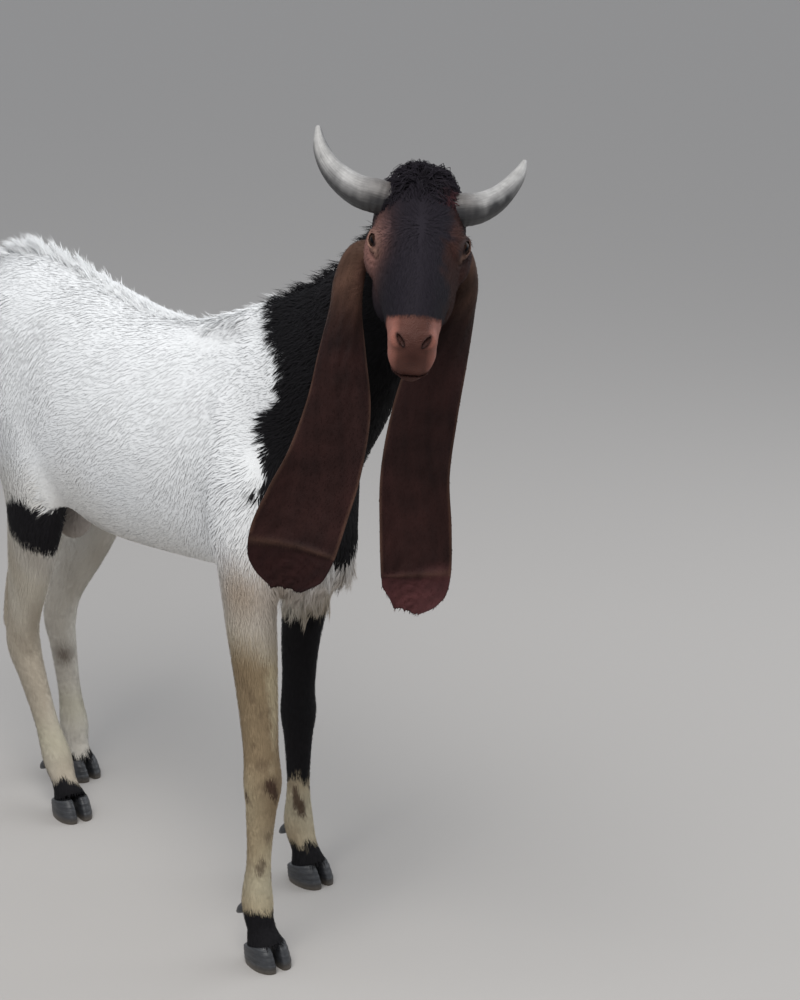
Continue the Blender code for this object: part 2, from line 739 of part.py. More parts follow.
def mouth_cutter(folder):
    """A thin curved slot round the muzzle, between the lips."""
    bends = []
    for share in np.linspace(-1.0, 1.0, 9):
        across = math.sin(share * MOUTH_TURN) * MOUTH_WIDE
        along = MOUTH_MIDDLE + math.cos(share * MOUTH_TURN) * MOUTH_REACH
        bends.append(((across, along, MOUTH_HIGH + MOUTH_RISE * share ** 2), *MOUTH_SLOT))
    return skin_rings("mouth", pipe_rings(bends, 17, 6, Vector((0, 0, 1))), folder)


def build_head(draw, folder, cutters):
    """The head in one piece, with sockets, lids, nostrils and the line of the mouth."""
    head = join_loose("head", head_forms(cutters), folder)
    melt(head, *HEAD_MELT)
    eyes = {}
    lids = collection("lids_and_clumps")
    for name, side in (("right", -1), ("left", 1)):
        place = Vector((EYE_PLACE[0] * side, EYE_PLACE[1], EYE_PLACE[2]))
        eyes[name] = ball("eye_" + name, place, (EYE_RADIUS,) * 3, 0.0, folder, 7)
        outward = Vector((EYE_FACES[0] * side, EYE_FACES[1], EYE_FACES[2])).normalized()
        along = Vector((0, 1, 0)) - outward * outward.y
        rim = place + outward * (EYE_RADIUS * 0.66)
        ring_round("lid_" + name, rim, outward, along.normalized(), LID_LONG, LID_HIGH, LID_THICK, lids)
    poll_clumps(draw, lids)
    fuse(head, lids)
    for name in eyes:
        socket = inflate(duplicate(eyes[name], "socket_" + name, cutters), GAP)
        boolean(head, socket, "DIFFERENCE")
        drop([socket])
    for side in (-1, 1):
        hole = nostril_cutter(side, cutters)
        boolean(head, hole, "DIFFERENCE")
        drop([hole])
    slot = mouth_cutter(cutters)
    boolean(head, slot, "DIFFERENCE")
    drop([slot])
    largest_surface(head)
    frame = head_matrix()
    for thing in (head, *eyes.values()):
        thing.data.transform(frame)
        face_out(thing)
    return head, eyes


def build_horn(name, head_clear, folder):
    """A smooth horn that leaves the head sideways and turns up, with its root shaped to the skull."""
    side, bends = HORNS[name]
    stations = [((x * side, y, z), radius, radius * HORN_FLAT) for (x, y, z), radius in bends]
    horn = skin_rings(name, pipe_rings(stations, 13, 12, Vector((0, 0, 1))), folder)
    horn.data.transform(head_matrix())
    face_out(horn)
    boolean(horn, head_clear, "DIFFERENCE")
    return largest_surface(horn)


def ear_section(middle, across, out, half, curl):
    """One ring of an ear: a thin leaf whose edges curl to one face or the other, or form a cup."""
    lean = math.copysign(max(abs(curl) * math.radians(150), EAR_FLATTEST), curl)
    radius = half / math.sin(min(abs(lean), math.pi / 2))
    ring = []
    for face, order in ((1, range(EAR_COLUMNS)), (-1, reversed(range(EAR_COLUMNS)))):
        for i in order:
            place = 2 * i / (EAR_COLUMNS - 1) - 1
            x = radius * math.sin(place * abs(lean))
            z = math.copysign(radius, lean) * (math.cos(lean * 0.5) - math.cos(place * lean))
            thin = EAR_THICK / 2 * (0.45 + 0.55 * (1 - place ** 2))
            x -= face * thin * math.sin(place * lean)
            z += face * thin * math.cos(place * lean)
            ring.append(middle + across * x + out * z)
    return ring


def build_ear(name, bends, faces, head_clear, folder):
    """A long hanging ear: rolled into a cup at its root, a broad soft leaf below."""
    count = 2 * len(bends) - 1
    rows = through([(*middle, half, curl) for middle, half, curl in bends], count)
    middles = [Vector(row[:3]) for row in rows]
    rings = []
    for i, row in enumerate(rows):
        ahead = (middles[min(i + 1, count - 1)] - middles[max(i - 1, 0)]).normalized()
        out = (faces - ahead * faces.dot(ahead)).normalized()
        across = ahead.cross(out)
        rings.append(ear_section(middles[i], across, out, row[3], row[4]))
    ear = skin_rings(name, rings, folder)
    boolean(ear, head_clear, "DIFFERENCE")
    return largest_surface(ear)


def claw_rings(centre, turn, side):
    """Level rings of one claw, sole to coronet. The split side is flat and the toe leans in."""
    forward = Vector((-math.sin(turn), -math.cos(turn), 0.0))
    left = Vector((math.cos(turn), -math.sin(turn), 0.0))
    middle = Vector((centre[0], centre[1], 0.0)) + left * side * (CLAW_WIDE + CLAW_SPLIT) / 2
    rings = []
    for level, long, wide, back in ((0.0, 0.96, 0.94, 0.0), (0.25, 1.0, 1.0, 0.001), (1.0, 0.80, 0.90, 0.009)):
        ring = []
        for angle in angles(12):
            ahead, out = oval(angle, 2.4)
            out *= 1.0 if out * side > 0 else 0.82
            toe = max(ahead, 0.0) ** 2 * 0.0045
            place = middle + forward * (ahead * long * CLAW_LONG / 2 - back)
            place += left * (out * wide * CLAW_WIDE / 2 - side * toe)
            rise = CORONET + math.tan(CORONET_SLOPE) * (place - middle).dot(forward)
            place.z = level * (rise - GAP)
            ring.append(place)
        rings.append(ring)
    return rings


def cut_coronet(leg, foot, cutters):
    """Cut a leg off on the slanted plane where its hoof begins."""
    centre, turn = HOOVES[foot]
    forward = Vector((-math.sin(turn), -math.cos(turn), 0.0))
    normal = Vector((0, 0, math.cos(CORONET_SLOPE))) - forward * math.sin(CORONET_SLOPE)
    below = half_space(foot + "_coronet", Vector((*centre, CORONET)), normal, 0.3, cutters)
    boolean(leg, below, "DIFFERENCE")
    drop([below])
    return largest_surface(leg)


def build_hoof(foot, leg, folder, cutters):
    """Two claws under a leg, and two dewclaws set behind its fetlock."""
    centre, turn = HOOVES[foot]
    made = []
    for name, side in (("outer", 1 if "left" in foot else -1), ("inner", -1 if "left" in foot else 1)):
        claw = skin_rings(f"claw_{foot}_{name}", claw_rings(centre, turn, side), folder)
        made.append(claw)
    clear = inflate(duplicate(leg, "clear", cutters), GAP)
    fetlock = Vector(LEGS["leg_" + foot][8])
    for name, side in (("outer", 1 if "left" in foot else -1), ("inner", -1 if "left" in foot else 1)):
        root = fetlock + Vector((0.0120 * side, 0.009, -0.006))
        tip = root + Vector((0.002 * side, DEWCLAW_LONG * 0.85, -DEWCLAW_LONG * 0.80))
        waist = root.lerp(tip, 0.6)
        stations = [(root, DEWCLAW_RADIUS, DEWCLAW_RADIUS), (waist, DEWCLAW_RADIUS, DEWCLAW_RADIUS),
                    (tip, DEWCLAW_RADIUS * 0.5, DEWCLAW_RADIUS * 0.5)]
        dewclaw = skin_rings(f"dewclaw_{foot}_{name}", pipe_rings(stations, 4, 7), folder)
        boolean(dewclaw, clear, "DIFFERENCE")
        made.append(largest_surface(dewclaw))
    drop([clear])
    return made


def build_tail(draw, folder, torso_clear):
    tail = skin_rings("tail", pipe_rings(TAIL, 12, 10), folder)
    locks = collection("tail_locks")
    tail_locks(draw, locks)
    fuse(tail, locks)
    boolean(tail, torso_clear, "DIFFERENCE")
    return largest_surface(tail)


def build_scrotum(folder, torso_clear):
    sac = skin_rings("scrotum", pipe_rings(SCROTUM, 12, 14), folder)
    boolean(sac, torso_clear, "DIFFERENCE")
    return largest_surface(sac)


def finish(parts, stuffs):
    """Give each node its own material, and stand the goat on the middle of its footprint."""
    low = Vector((9, 9, 9))
    high = Vector((-9, -9, -9))
    for thing in parts.values():
        for corner in thing.data.vertices:
            low = Vector(map(min, low, corner.co))
            high = Vector(map(max, high, corner.co))
    shift = Matrix.Translation((-(low.x + high.x) / 2, -(low.y + high.y) / 2, -low.z))
    for name, thing in parts.items():
        thing.name = name
        thing.data.transform(shift)
        thing.data.materials.clear()
        thing.data.materials.append(material(name, *stuffs(name)))
        thing.data.shade_smooth()
        thing.data.set_sharp_from_angle(angle=math.radians(40))


def stuff_of(name):
    """Colour and roughness of a node."""
    for words, colour, roughness in (
            (("claw",), "hoof", 0.45), (("horn",), "horn", 0.55), (("eye",), "eye", 0.10),
            (("ear",), "ear_skin", 0.70), (("head", "neck"), "black_coat", 0.75),
            (("scrotum",), "bare_skin", 0.65), (("torso", "leg", "tail"), "white_coat", 0.85)):
        if any(word in name for word in words):
            return COLOURS[colour], roughness
    return COLOURS["white_coat"], 0.85


def main():
    clear_scene()
    goat = collection("billy_goat")
    cutters = collection("cutters")
    body = join_loose("body", body_forms(cutters), cutters)
    melt(body, *BODY_MELT)
    draw = random.Random(SEED)
    locks = collection("crest_locks")
    crest_locks(tree_of(body), draw, locks)
    fuse(body, locks)
    parts = cut_body(body, goat, cutters)
    head, eyes = build_head(draw, goat, cutters)
    parts["head"] = head
    for name, eye in eyes.items():
        parts["eye_" + name] = eye
    head_clear = inflate(duplicate(head, "head_clear", cutters), GAP)
    for name in HORNS:
        parts[name] = build_horn(name, head_clear, goat)
    parts["ear_right"] = build_ear("ear_right", EAR_RIGHT, EAR_RIGHT_FACES, head_clear, goat)
    parts["ear_left"] = build_ear("ear_left", EAR_LEFT, EAR_LEFT_FACES, head_clear, goat)
    boolean(parts["neck"], head_clear, "DIFFERENCE")
    for name in ("ear_right", "ear_left"):
        clear = inflate(duplicate(parts[name], "ear_clear", cutters), GAP)
        boolean(parts["neck"], clear, "DIFFERENCE")
        drop([clear])
    largest_surface(parts["neck"])
    for foot in HOOVES:
        leg = parts["leg_" + foot]
        cut_coronet(leg, foot, cutters)
        for made in build_hoof(foot, leg, goat, cutters):
            parts[made.name] = made
    torso_clear = inflate(duplicate(parts["torso"], "torso_clear", cutters), GAP)
    parts["tail"] = build_tail(draw, goat, torso_clear)
    parts["scrotum"] = build_scrotum(goat, torso_clear)
    finish(parts, stuff_of)
    drop(cutters.objects)


main()
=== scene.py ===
import math

import bmesh
import bpy
import numpy as np
from mathutils import Matrix, Vector
from mathutils.kdtree import KDTree


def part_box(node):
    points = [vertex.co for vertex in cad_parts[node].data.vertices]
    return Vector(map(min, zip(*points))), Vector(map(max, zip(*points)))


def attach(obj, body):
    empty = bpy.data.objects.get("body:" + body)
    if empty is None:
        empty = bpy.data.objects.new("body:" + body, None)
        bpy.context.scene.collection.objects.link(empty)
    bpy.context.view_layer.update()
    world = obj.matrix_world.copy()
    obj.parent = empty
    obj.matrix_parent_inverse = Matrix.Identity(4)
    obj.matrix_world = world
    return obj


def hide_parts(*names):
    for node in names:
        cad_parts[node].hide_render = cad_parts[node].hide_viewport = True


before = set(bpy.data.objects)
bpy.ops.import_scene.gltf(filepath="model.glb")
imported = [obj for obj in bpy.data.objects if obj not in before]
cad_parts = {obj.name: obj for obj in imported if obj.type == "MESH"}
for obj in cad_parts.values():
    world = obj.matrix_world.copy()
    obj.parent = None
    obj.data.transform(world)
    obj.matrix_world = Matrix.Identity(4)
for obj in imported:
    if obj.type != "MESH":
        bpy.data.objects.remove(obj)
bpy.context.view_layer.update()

# The billy goat stands on its own four feet. Its head is placed first, because the middle of the
# right eye ties the goat's own measures (from the ground point between its feet) to the frame.
EYE_MIDDLE = Vector((-0.0665, -0.6512, 1.0118))
HEAD_FACES = math.radians(-141.3)
HEAD_DIP = math.radians(35.0)
HEAD_TILT = math.radians(-5.0)
HEAD_SIZE = 1.07
EYE_PLACE = (0.0415, -0.002, 0.024)


def head_axes():
    """The head's own directions: to its left, along to the nose, and up out of the forehead."""
    level = Vector((math.sin(HEAD_FACES), math.cos(HEAD_FACES), 0.0))
    left = Vector((-level.y, level.x, 0.0))
    tilt = Matrix.Rotation(HEAD_TILT, 3, level)
    along = level * math.cos(HEAD_DIP) - Vector((0, 0, math.sin(HEAD_DIP)))
    up = level * math.sin(HEAD_DIP) + Vector((0, 0, math.cos(HEAD_DIP)))
    return tilt @ left, tilt @ along, tilt @ up


def head_matrix():
    left, along, up = head_axes()
    made = Matrix((left, along, up)).transposed().to_4x4() @ Matrix.Scale(HEAD_SIZE, 4)
    made.translation = EYE_MIDDLE
    return made


HEAD = head_matrix()
eye_low, eye_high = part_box("eye_right")
SHIFT = (Vector(eye_low) + Vector(eye_high)) / 2 - HEAD @ Vector((-EYE_PLACE[0], EYE_PLACE[1], EYE_PLACE[2]))

# The camera looks down a little from the goat's right front, at the height of a standing person.
# The floor is plain and pale, and the light is a wide soft sky with one large soft lamp.
CAMERA_PLACE = Vector((-1.8128, -2.7863, 1.56))
CAMERA_TURN = math.radians(38.86)
CAMERA_DIP = math.radians(16.918)
camera = bpy.data.objects.new("camera", bpy.data.cameras.new("camera"))
bpy.context.scene.collection.objects.link(camera)
camera.data.sensor_width = 36.0
camera.data.lens = 86.4
camera.location = CAMERA_PLACE + SHIFT
camera.rotation_euler = (math.pi / 2 - CAMERA_DIP, 0.0, -CAMERA_TURN)
bpy.context.scene.camera = camera

world = bpy.data.worlds.new("soft_sky")
bpy.context.scene.world = world
world.use_nodes = True
world.node_tree.nodes["Background"].inputs["Color"].default_value = (0.9, 0.94, 1.0, 1.0)
world.node_tree.nodes["Background"].inputs["Strength"].default_value = 0.63
for name, place, size, watts, colour in (
        ("key", (-1.4, -1.3, 3.5), 2.4, 96.0, (1.0, 0.985, 0.96)),
        ("far_side", (2.4, -0.6, 2.0), 2.2, 20.0, (0.94, 0.97, 1.0))):
    lamp = bpy.data.objects.new(name, bpy.data.lights.new(name, "AREA"))
    lamp.data.size = size
    lamp.data.energy = watts
    lamp.data.color = colour
    lamp.location = place
    lamp.rotation_euler = (Vector(place) - Vector((0, 0, 0.6))).to_track_quat("Z", "Y").to_euler()
    bpy.context.scene.collection.objects.link(lamp)
bpy.context.scene.view_settings.view_transform = "Standard"


def new_material(name, roughness):
    """A named material, with its node tree and its shader."""
    made = bpy.data.materials.new(name)
    made.use_nodes = True
    shader = made.node_tree.nodes["Principled BSDF"]
    shader.inputs["Roughness"].default_value = roughness
    return made, made.node_tree, shader


def add(tree, kind, settings=None, **sockets):
    """One shader node with its settings, its inputs linked or given values by name or number (i0)."""
    made = tree.nodes.new("ShaderNode" + kind)
    for key, value in (settings or {}).items():
        setattr(made, key, value)
    for key, value in sockets.items():
        entry = made.inputs[int(key[1:]) if key[1:].isdigit() else key]
        if isinstance(value, bpy.types.NodeSocket):
            tree.links.new(value, entry)
        else:
            entry.default_value = value
    return made


floor_mesh = bpy.data.meshes.new("floor")
floor_shape = bmesh.new()
bmesh.ops.create_grid(floor_shape, x_segments=1, y_segments=1, size=40.0)
floor_shape.to_mesh(floor_mesh)
floor_shape.free()
floor = bpy.data.objects.new("floor", floor_mesh)
bpy.context.scene.collection.objects.link(floor)
floor_stuff, tree, shader = new_material("pale_floor", 0.9)
shader.inputs["Base Color"].default_value = (0.44, 0.42, 0.4, 1.0)
floor.data.materials.append(floor_stuff)

# The body under the coat: chest, barrel, rump, neck and four legs, each a smooth tapering form.
# It is flesh over bone, built from sections and fused with the head, tail and scrotum to one skin.
TRUNK = [
    (-0.405, 0.695, 0.61, 0.03, 0.0), (-0.385, 0.745, 0.57, 0.062, 0.05),
    (-0.335, 0.8, 0.527, 0.086, 0.2), (-0.25, 0.838, 0.508, 0.1, 0.42),
    (-0.15, 0.84, 0.497, 0.112, 0.36), (0.0, 0.832, 0.484, 0.125, 0.24),
    (0.11, 0.845, 0.482, 0.127, 0.22), (0.21, 0.863, 0.516, 0.114, 0.26),
    (0.3, 0.877, 0.578, 0.106, 0.34), (0.37, 0.872, 0.625, 0.092, 0.34),
    (0.42, 0.857, 0.655, 0.068, 0.26), (0.455, 0.825, 0.69, 0.04, 0.1),
    (0.47, 0.79, 0.715, 0.016, 0.0),
]
NECK = [
    ((0.0, -0.18, 0.68), 0.07, 0.14), ((0.0, -0.27, 0.715), 0.078, 0.142),
    ((-0.002, -0.364, 0.781), 0.07, 0.118), ((-0.003, -0.435, 0.85), 0.06, 0.098),
    ((-0.004, -0.495, 0.913), 0.053, 0.083), ((-0.005, -0.54, 0.97), 0.049, 0.07),
    ((-0.012, -0.585, 1.005), 0.047, 0.06), ((-0.03, -0.62, 1.012), 0.04, 0.045),
]
FORE_SIZES = [
    (0.034, 0.066), (0.035, 0.058), (0.034, 0.047), (0.0275, 0.036), (0.0245, 0.0265), (0.027, 0.0275),
    (0.021, 0.0225), (0.0175, 0.019), (0.0225, 0.024), (0.0205, 0.0215), (0.027, 0.031),
]
HIND_SIZES = [
    (0.04, 0.11), (0.046, 0.112), (0.039, 0.07), (0.029, 0.05), (0.0225, 0.035), (0.0245, 0.035),
    (0.0205, 0.028), (0.018, 0.0235), (0.023, 0.027), (0.02, 0.0215), (0.0265, 0.03),
]
LEGS = {
    "leg_fore_right": ([
        (-0.078, -0.29, 0.68), (-0.088, -0.315, 0.59), (-0.09, -0.33, 0.51), (-0.091, -0.345, 0.4),
        (-0.094, -0.357, 0.31), (-0.095, -0.361, 0.262), (-0.096, -0.357, 0.215), (-0.098, -0.353, 0.145),
        (-0.099, -0.349, 0.085), (-0.1, -0.358, 0.05), (-0.1, -0.368, 0.024)], FORE_SIZES),
    "leg_fore_left": ([
        (0.078, -0.27, 0.68), (0.088, -0.262, 0.59), (0.089, -0.235, 0.51), (0.09, -0.203, 0.4),
        (0.094, -0.188, 0.31), (0.095, -0.185, 0.262), (0.096, -0.182, 0.215), (0.097, -0.18, 0.145),
        (0.098, -0.178, 0.085), (0.099, -0.19, 0.05), (0.099, -0.2, 0.024)], FORE_SIZES),
    "leg_hind_right": ([
        (-0.066, 0.285, 0.76), (-0.08, 0.255, 0.64), (-0.088, 0.222, 0.53), (-0.078, 0.264, 0.41),
        (-0.066, 0.31, 0.31), (-0.06, 0.326, 0.255), (-0.056, 0.31, 0.205), (-0.051, 0.283, 0.135),
        (-0.047, 0.261, 0.08), (-0.05, 0.237, 0.048), (-0.053, 0.217, 0.024)], HIND_SIZES),
    "leg_hind_left": ([
        (0.066, 0.3, 0.76), (0.08, 0.3, 0.64), (0.086, 0.286, 0.53), (0.075, 0.335, 0.41),
        (0.061, 0.39, 0.31), (0.055, 0.408, 0.255), (0.053, 0.398, 0.205), (0.05, 0.38, 0.135),
        (0.046, 0.363, 0.08), (0.043, 0.352, 0.048), (0.041, 0.344, 0.024)], HIND_SIZES),
}
HOCKS = [
    [((-0.078, 0.255, 0.48), 0.012, 0.013), ((-0.07, 0.322, 0.39), 0.0115, 0.013),
     ((-0.062, 0.361, 0.292), 0.0115, 0.013), ((-0.061, 0.352, 0.272), 0.012, 0.013)],
    [((0.08, 0.31, 0.48), 0.012, 0.013), ((0.066, 0.393, 0.39), 0.0115, 0.013),
     ((0.057, 0.439, 0.292), 0.0115, 0.013), ((0.056, 0.43, 0.272), 0.012, 0.013)],
]
TAIL = [
    ((0.0, 0.425, 0.838), 0.022, 0.015), ((0.0, 0.462, 0.843), 0.026, 0.015),
    ((0.0, 0.494, 0.834), 0.029, 0.014), ((0.0, 0.517, 0.808), 0.029, 0.013),
    ((0.0, 0.53, 0.772), 0.023, 0.011), ((0.0, 0.534, 0.735), 0.007, 0.004),
]
WITHERS = [
    ((0.0, -0.04, 0.812), 0.022, 0.016), ((0.0, -0.11, 0.819), 0.032, 0.024),
    ((0.0, -0.185, 0.836), 0.036, 0.028), ((0.0, -0.25, 0.858), 0.038, 0.029),
    ((0.0, -0.312, 0.879), 0.037, 0.029), ((0.0, -0.362, 0.902), 0.034, 0.027),
    ((0.0, -0.41, 0.932), 0.028, 0.022), ((0.0, -0.45, 0.962), 0.018, 0.012),
]
SCROTUM = [
    ((0.0, 0.285, 0.62), 0.016, 0.015), ((0.0, 0.278, 0.56), 0.017, 0.016),
    ((0.0, 0.268, 0.515), 0.024, 0.024), ((0.0, 0.262, 0.475), 0.031, 0.031),
    ((0.0, 0.26, 0.447), 0.025, 0.025), ((0.0, 0.26, 0.433), 0.009, 0.009),
]


def through(stations, count):
    """Rows of numbers on a smooth curve through the stations."""
    rows = np.array(stations, dtype=float)
    ends = np.vstack([2 * rows[0] - rows[1], rows, 2 * rows[-1] - rows[-2]])
    place = np.linspace(0, len(rows) - 1, count)
    first = np.minimum(place.astype(int), len(rows) - 2)
    f = (place - first)[:, None]
    a, b, c, d = (ends[first + i] for i in range(4))
    return 0.5 * (2 * b + (c - a) * f + (2 * a - 5 * b + 4 * c - d) * f ** 2
                  + (3 * b - a - 3 * c + d) * f ** 3)


def unit(rows):
    return rows / np.maximum(np.linalg.norm(rows, axis=-1, keepdims=True), 1e-9)


def oval(sides, square=2.0):
    """Points round a unit oval. Higher values of square make it boxier."""
    turn = np.arange(sides) * (2 * math.pi / sides)
    c, s = np.cos(turn), np.sin(turn)
    return np.sign(c) * abs(c) ** (2 / square), np.sign(s) * abs(s) ** (2 / square)


def pipe(stations, count, sides, side=(1.0, 0.0, 0.0)):
    """Oval rings square to a path, wide along side and deep across it."""
    rows = through([(*middle, wide, deep) for middle, wide, deep in stations], count)
    middles = rows[:, :3]
    ahead = unit(np.gradient(middles, axis=0))
    side = np.array(side, dtype=float)
    along = unit(side - ahead * (ahead @ side)[:, None])
    deep = np.cross(ahead, along)
    across, up = oval(sides)
    return (middles[:, None] + along[:, None] * (across * rows[:, 3:4])[..., None]
            + deep[:, None] * (up * rows[:, 4:5])[..., None])


def section_rings(table, count, sides, square, slim):
    """Rings over a table of sections: place along, top, bottom, half width, and how each slims."""
    rows = through(table, count)
    across, up = oval(sides, square)
    middle, tall = (rows[:, 1] + rows[:, 2]) / 2, (rows[:, 1] - rows[:, 2]) / 2
    rings = np.zeros((count, sides, 3))
    rings[..., 0] = across * rows[:, 3:4] * slim(rows, up)
    rings[..., 1] = rows[:, 0:1]
    rings[..., 2] = middle[:, None] + up * tall[:, None]
    return rings


def trunk_slim(rows, up):
    return 1 - rows[:, 4:5] * np.maximum(up, 0) ** 1.5


def loft(rings):
    """Corners and faces of one closed body over rings of points, capped at both ends."""
    count, sides = rings.shape[:2]
    index = np.arange(count * sides).reshape(count, sides)
    near = np.roll(index, -1, axis=1)
    walls = np.stack([index[:-1], near[:-1], near[1:], index[1:]], axis=-1).reshape(-1, 4)
    return rings.reshape(-1, 3), walls.tolist() + [index[0][::-1].tolist(), index[-1].tolist()]


def ball(middle, radii, rows=16):
    turn = np.arange(rows * 2) * (math.pi / rows)
    rings = []
    for tilt in np.linspace(0.02, math.pi - 0.02, rows):
        ring = np.stack([np.cos(turn) * math.sin(tilt), np.sin(turn) * math.sin(tilt),
                         np.full(rows * 2, math.cos(tilt))], axis=-1)
        rings.append(np.array(middle) + ring * np.array(radii))
    return loft(np.array(rings))


def new_object(name, corners, faces):
    mesh = bpy.data.meshes.new(name)
    mesh.from_pydata(np.asarray(corners).tolist(), [], faces)
    made = bpy.data.objects.new(name, mesh)
    bpy.context.scene.collection.objects.link(made)
    return made


body_forms = [loft(section_rings(TRUNK, 60, 56, 2.2, trunk_slim)), loft(pipe(NECK, 48, 48)),
              loft(pipe(WITHERS, 40, 32))]
for path, sizes in LEGS.values():
    x, y, z = path[0]
    inside = ((x * 0.4, y, z + 0.085), sizes[0][0] * 0.35, sizes[0][1] * 0.45)
    body_forms.append(loft(pipe([inside] + [(m, *s) for m, s in zip(path, sizes)], 90, 32)))
for stations in HOCKS:
    body_forms.append(loft(pipe(stations, 20, 16)))
for side in (-1, 1):
    body_forms += [
        ball((0.064 * side, -0.262, 0.665), (0.036, 0.075, 0.132)),
        ball((0.03 * side, -0.336, 0.575), (0.042, 0.068, 0.078)),
        ball((0.066 * side, 0.32, 0.68), (0.046, 0.12, 0.15)),
        ball((0.028 * side, 0.42, 0.78), (0.03, 0.038, 0.055)),
    ]
body_forms.append(ball((0.0, -0.336, 0.578), (0.046, 0.071, 0.078)))
body_forms.append(loft(pipe(TAIL, 30, 20)))
body_forms.append(loft(pipe(SCROTUM, 30, 24)))

# The head: a long narrow skull with a full jaw, square muzzle, rounded lips and a domed poll.
# Brows, cheeks and lids are soft forms over it. Sockets, nostrils and mouth are cut in the skin.
SKULL = [
    (-0.112, 0.01, -0.05, 0.03, 0.0, 0.0), (-0.1, 0.036, -0.074, 0.045, 0.0, 0.1),
    (-0.075, 0.051, -0.09, 0.052, 0.0, 0.3), (-0.045, 0.056, -0.094, 0.053, 0.0, 0.5),
    (-0.015, 0.056, -0.09, 0.052, 0.1, 0.6), (0.01, 0.056, -0.082, 0.051, 0.2, 0.6),
    (0.04, 0.056, -0.069, 0.043, 0.3, 0.5), (0.07, 0.052, -0.056, 0.036, 0.3, 0.4),
    (0.098, 0.045, -0.046, 0.03, 0.2, 0.42), (0.12, 0.038, -0.041, 0.0275, 0.1, 0.42),
    (0.136, 0.029, -0.038, 0.0265, 0.1, 0.5), (0.147, 0.017, -0.033, 0.021, 0.0, 0.4),
    (0.152, 0.004, -0.024, 0.011, 0.0, 0.0),
]
EYE_RADIUS = 0.0135
EYE_FACES = (0.74, 0.45, 0.5)
LID_LONG, LID_TALL = 0.0118, 0.0074
LID_THICK, LID_OUT = 0.0038, 0.66


def to_head(points):
    """Move points from the head's own measures to the goat's."""
    turned = np.asarray(points) @ np.array(HEAD.to_3x3()).T
    return turned + np.array(HEAD.translation)


def from_head(points):
    """The head's own measures of points on the goat."""
    return (np.asarray(points) - np.array(HEAD.translation)) @ np.array(HEAD.to_3x3().inverted()).T


def skull_slim(rows, up):
    return 1 - (rows[:, 4:5] * 0.5 * np.maximum(up, 0) ** 2 + rows[:, 5:6] * np.maximum(-up, 0) ** 1.3)


def eye_frame(side):
    """The middle of an eye, and its directions: outward, along the slit, and up."""
    middle = np.array((EYE_PLACE[0] * side, EYE_PLACE[1], EYE_PLACE[2]))
    outward = unit(np.array((EYE_FACES[0] * side, EYE_FACES[1], EYE_FACES[2])))
    along = unit(np.array((0.0, 1.0, 0.0)) - outward * outward[1])
    return middle, outward, along, np.cross(outward, along) * side


def lid_ring(side):
    """A soft rim round the eye, thicker above, as the lids are."""
    middle, outward, along, up = eye_frame(side)
    middle = middle + outward * EYE_RADIUS * LID_OUT
    across, high = oval(10)
    rings = []
    for turn in np.arange(33) * (2 * math.pi / 32):
        spoke = along * math.cos(turn) * LID_LONG + up * math.sin(turn) * LID_TALL
        out = spoke / np.linalg.norm(spoke)
        thick = LID_THICK + 0.0008 * max(math.sin(turn), 0)
        rings.append(middle + spoke + out * (across * thick)[:, None] + outward * (high * thick)[:, None])
    return np.array(rings)


head_forms = [loft(section_rings(SKULL, 60, 56, 2.3, skull_slim)),
              ball((-0.001, -0.066, 0.022), (0.036, 0.043, 0.029))]
for side in (-1, 1):
    head_forms += [
        ball((0.035 * side, -0.002, 0.022), (0.0175, 0.025, 0.02)),
        ball((0.034 * side, -0.008, 0.034), (0.014, 0.022, 0.01)),
        ball((0.042 * side, -0.012, -0.002), (0.018, 0.04, 0.018)),
        ball((0.028 * side, 0.0, -0.045), (0.019, 0.045, 0.032)),
        ball((0.0135 * side, 0.127, 0.014), (0.014, 0.018, 0.016)),
        ball((0.011 * side, 0.13, -0.005), (0.0145, 0.021, 0.012)),
        loft(lid_ring(side)),
    ]
head_forms.append(ball((0.0, 0.125, -0.029), (0.015, 0.019, 0.012)))
flesh_forms = body_forms + [(to_head(corners), faces) for corners, faces in head_forms]

# Fusing: all forms become one watertight skin, smoothed more on the body than on the head, then
# thinned to even triangles that stay finest on the head.
VOXEL = 0.0018
BODY_TRIANGLES = 105000
LIMB_TOP = 0.47


def join(forms):
    corners, faces, start = [], [], 0
    for points, polygons in forms:
        corners.append(points)
        faces += [[start + i for i in polygon] for polygon in polygons]
        start += len(points)
    return np.vstack(corners), faces


def frozen(thing):
    """The plain mesh of an object with all its modifiers applied."""
    seen = thing.evaluated_get(bpy.context.evaluated_depsgraph_get())
    mesh = bpy.data.meshes.new_from_object(seen)
    thing.modifiers.clear()
    thing.data = mesh
    return thing


def points_of(mesh):
    flat = np.zeros(len(mesh.vertices) * 3)
    mesh.vertices.foreach_get("co", flat)
    return flat.reshape(-1, 3)


skin = new_object("skin", *join(flesh_forms))
fuse = skin.modifiers.new("fuse", "REMESH")
fuse.mode = "VOXEL"
fuse.voxel_size = VOXEL
frozen(skin)
spots = points_of(skin.data)
local = from_head(spots)
on_head = (local[:, 1] > -0.115) & (abs(local[:, 0]) < 0.075) & (local[:, 2] > -0.11) & (spots[:, 1] < -0.5)
low = spots[:, 2] < LIMB_TOP
finer = (0.0024 / VOXEL) ** 2
for name, rows, rounds in (("body", ~on_head & ~low, int(60 * finer)), ("limbs", low, int(14 * finer)),
                           ("face", on_head, int(5 * finer) + 1)):
    group = skin.vertex_groups.new(name=name)
    group.add(np.nonzero(rows)[0].tolist(), 1.0, "REPLACE")
    smooth = skin.modifiers.new(name, "SMOOTH")
    smooth.factor = 0.5
    smooth.iterations = rounds
    smooth.vertex_group = name
frozen(skin)
thin = skin.modifiers.new("thin", "DECIMATE")
skin.vertex_groups["body"].add(np.nonzero(low)[0].tolist(), 1.0, "REPLACE")
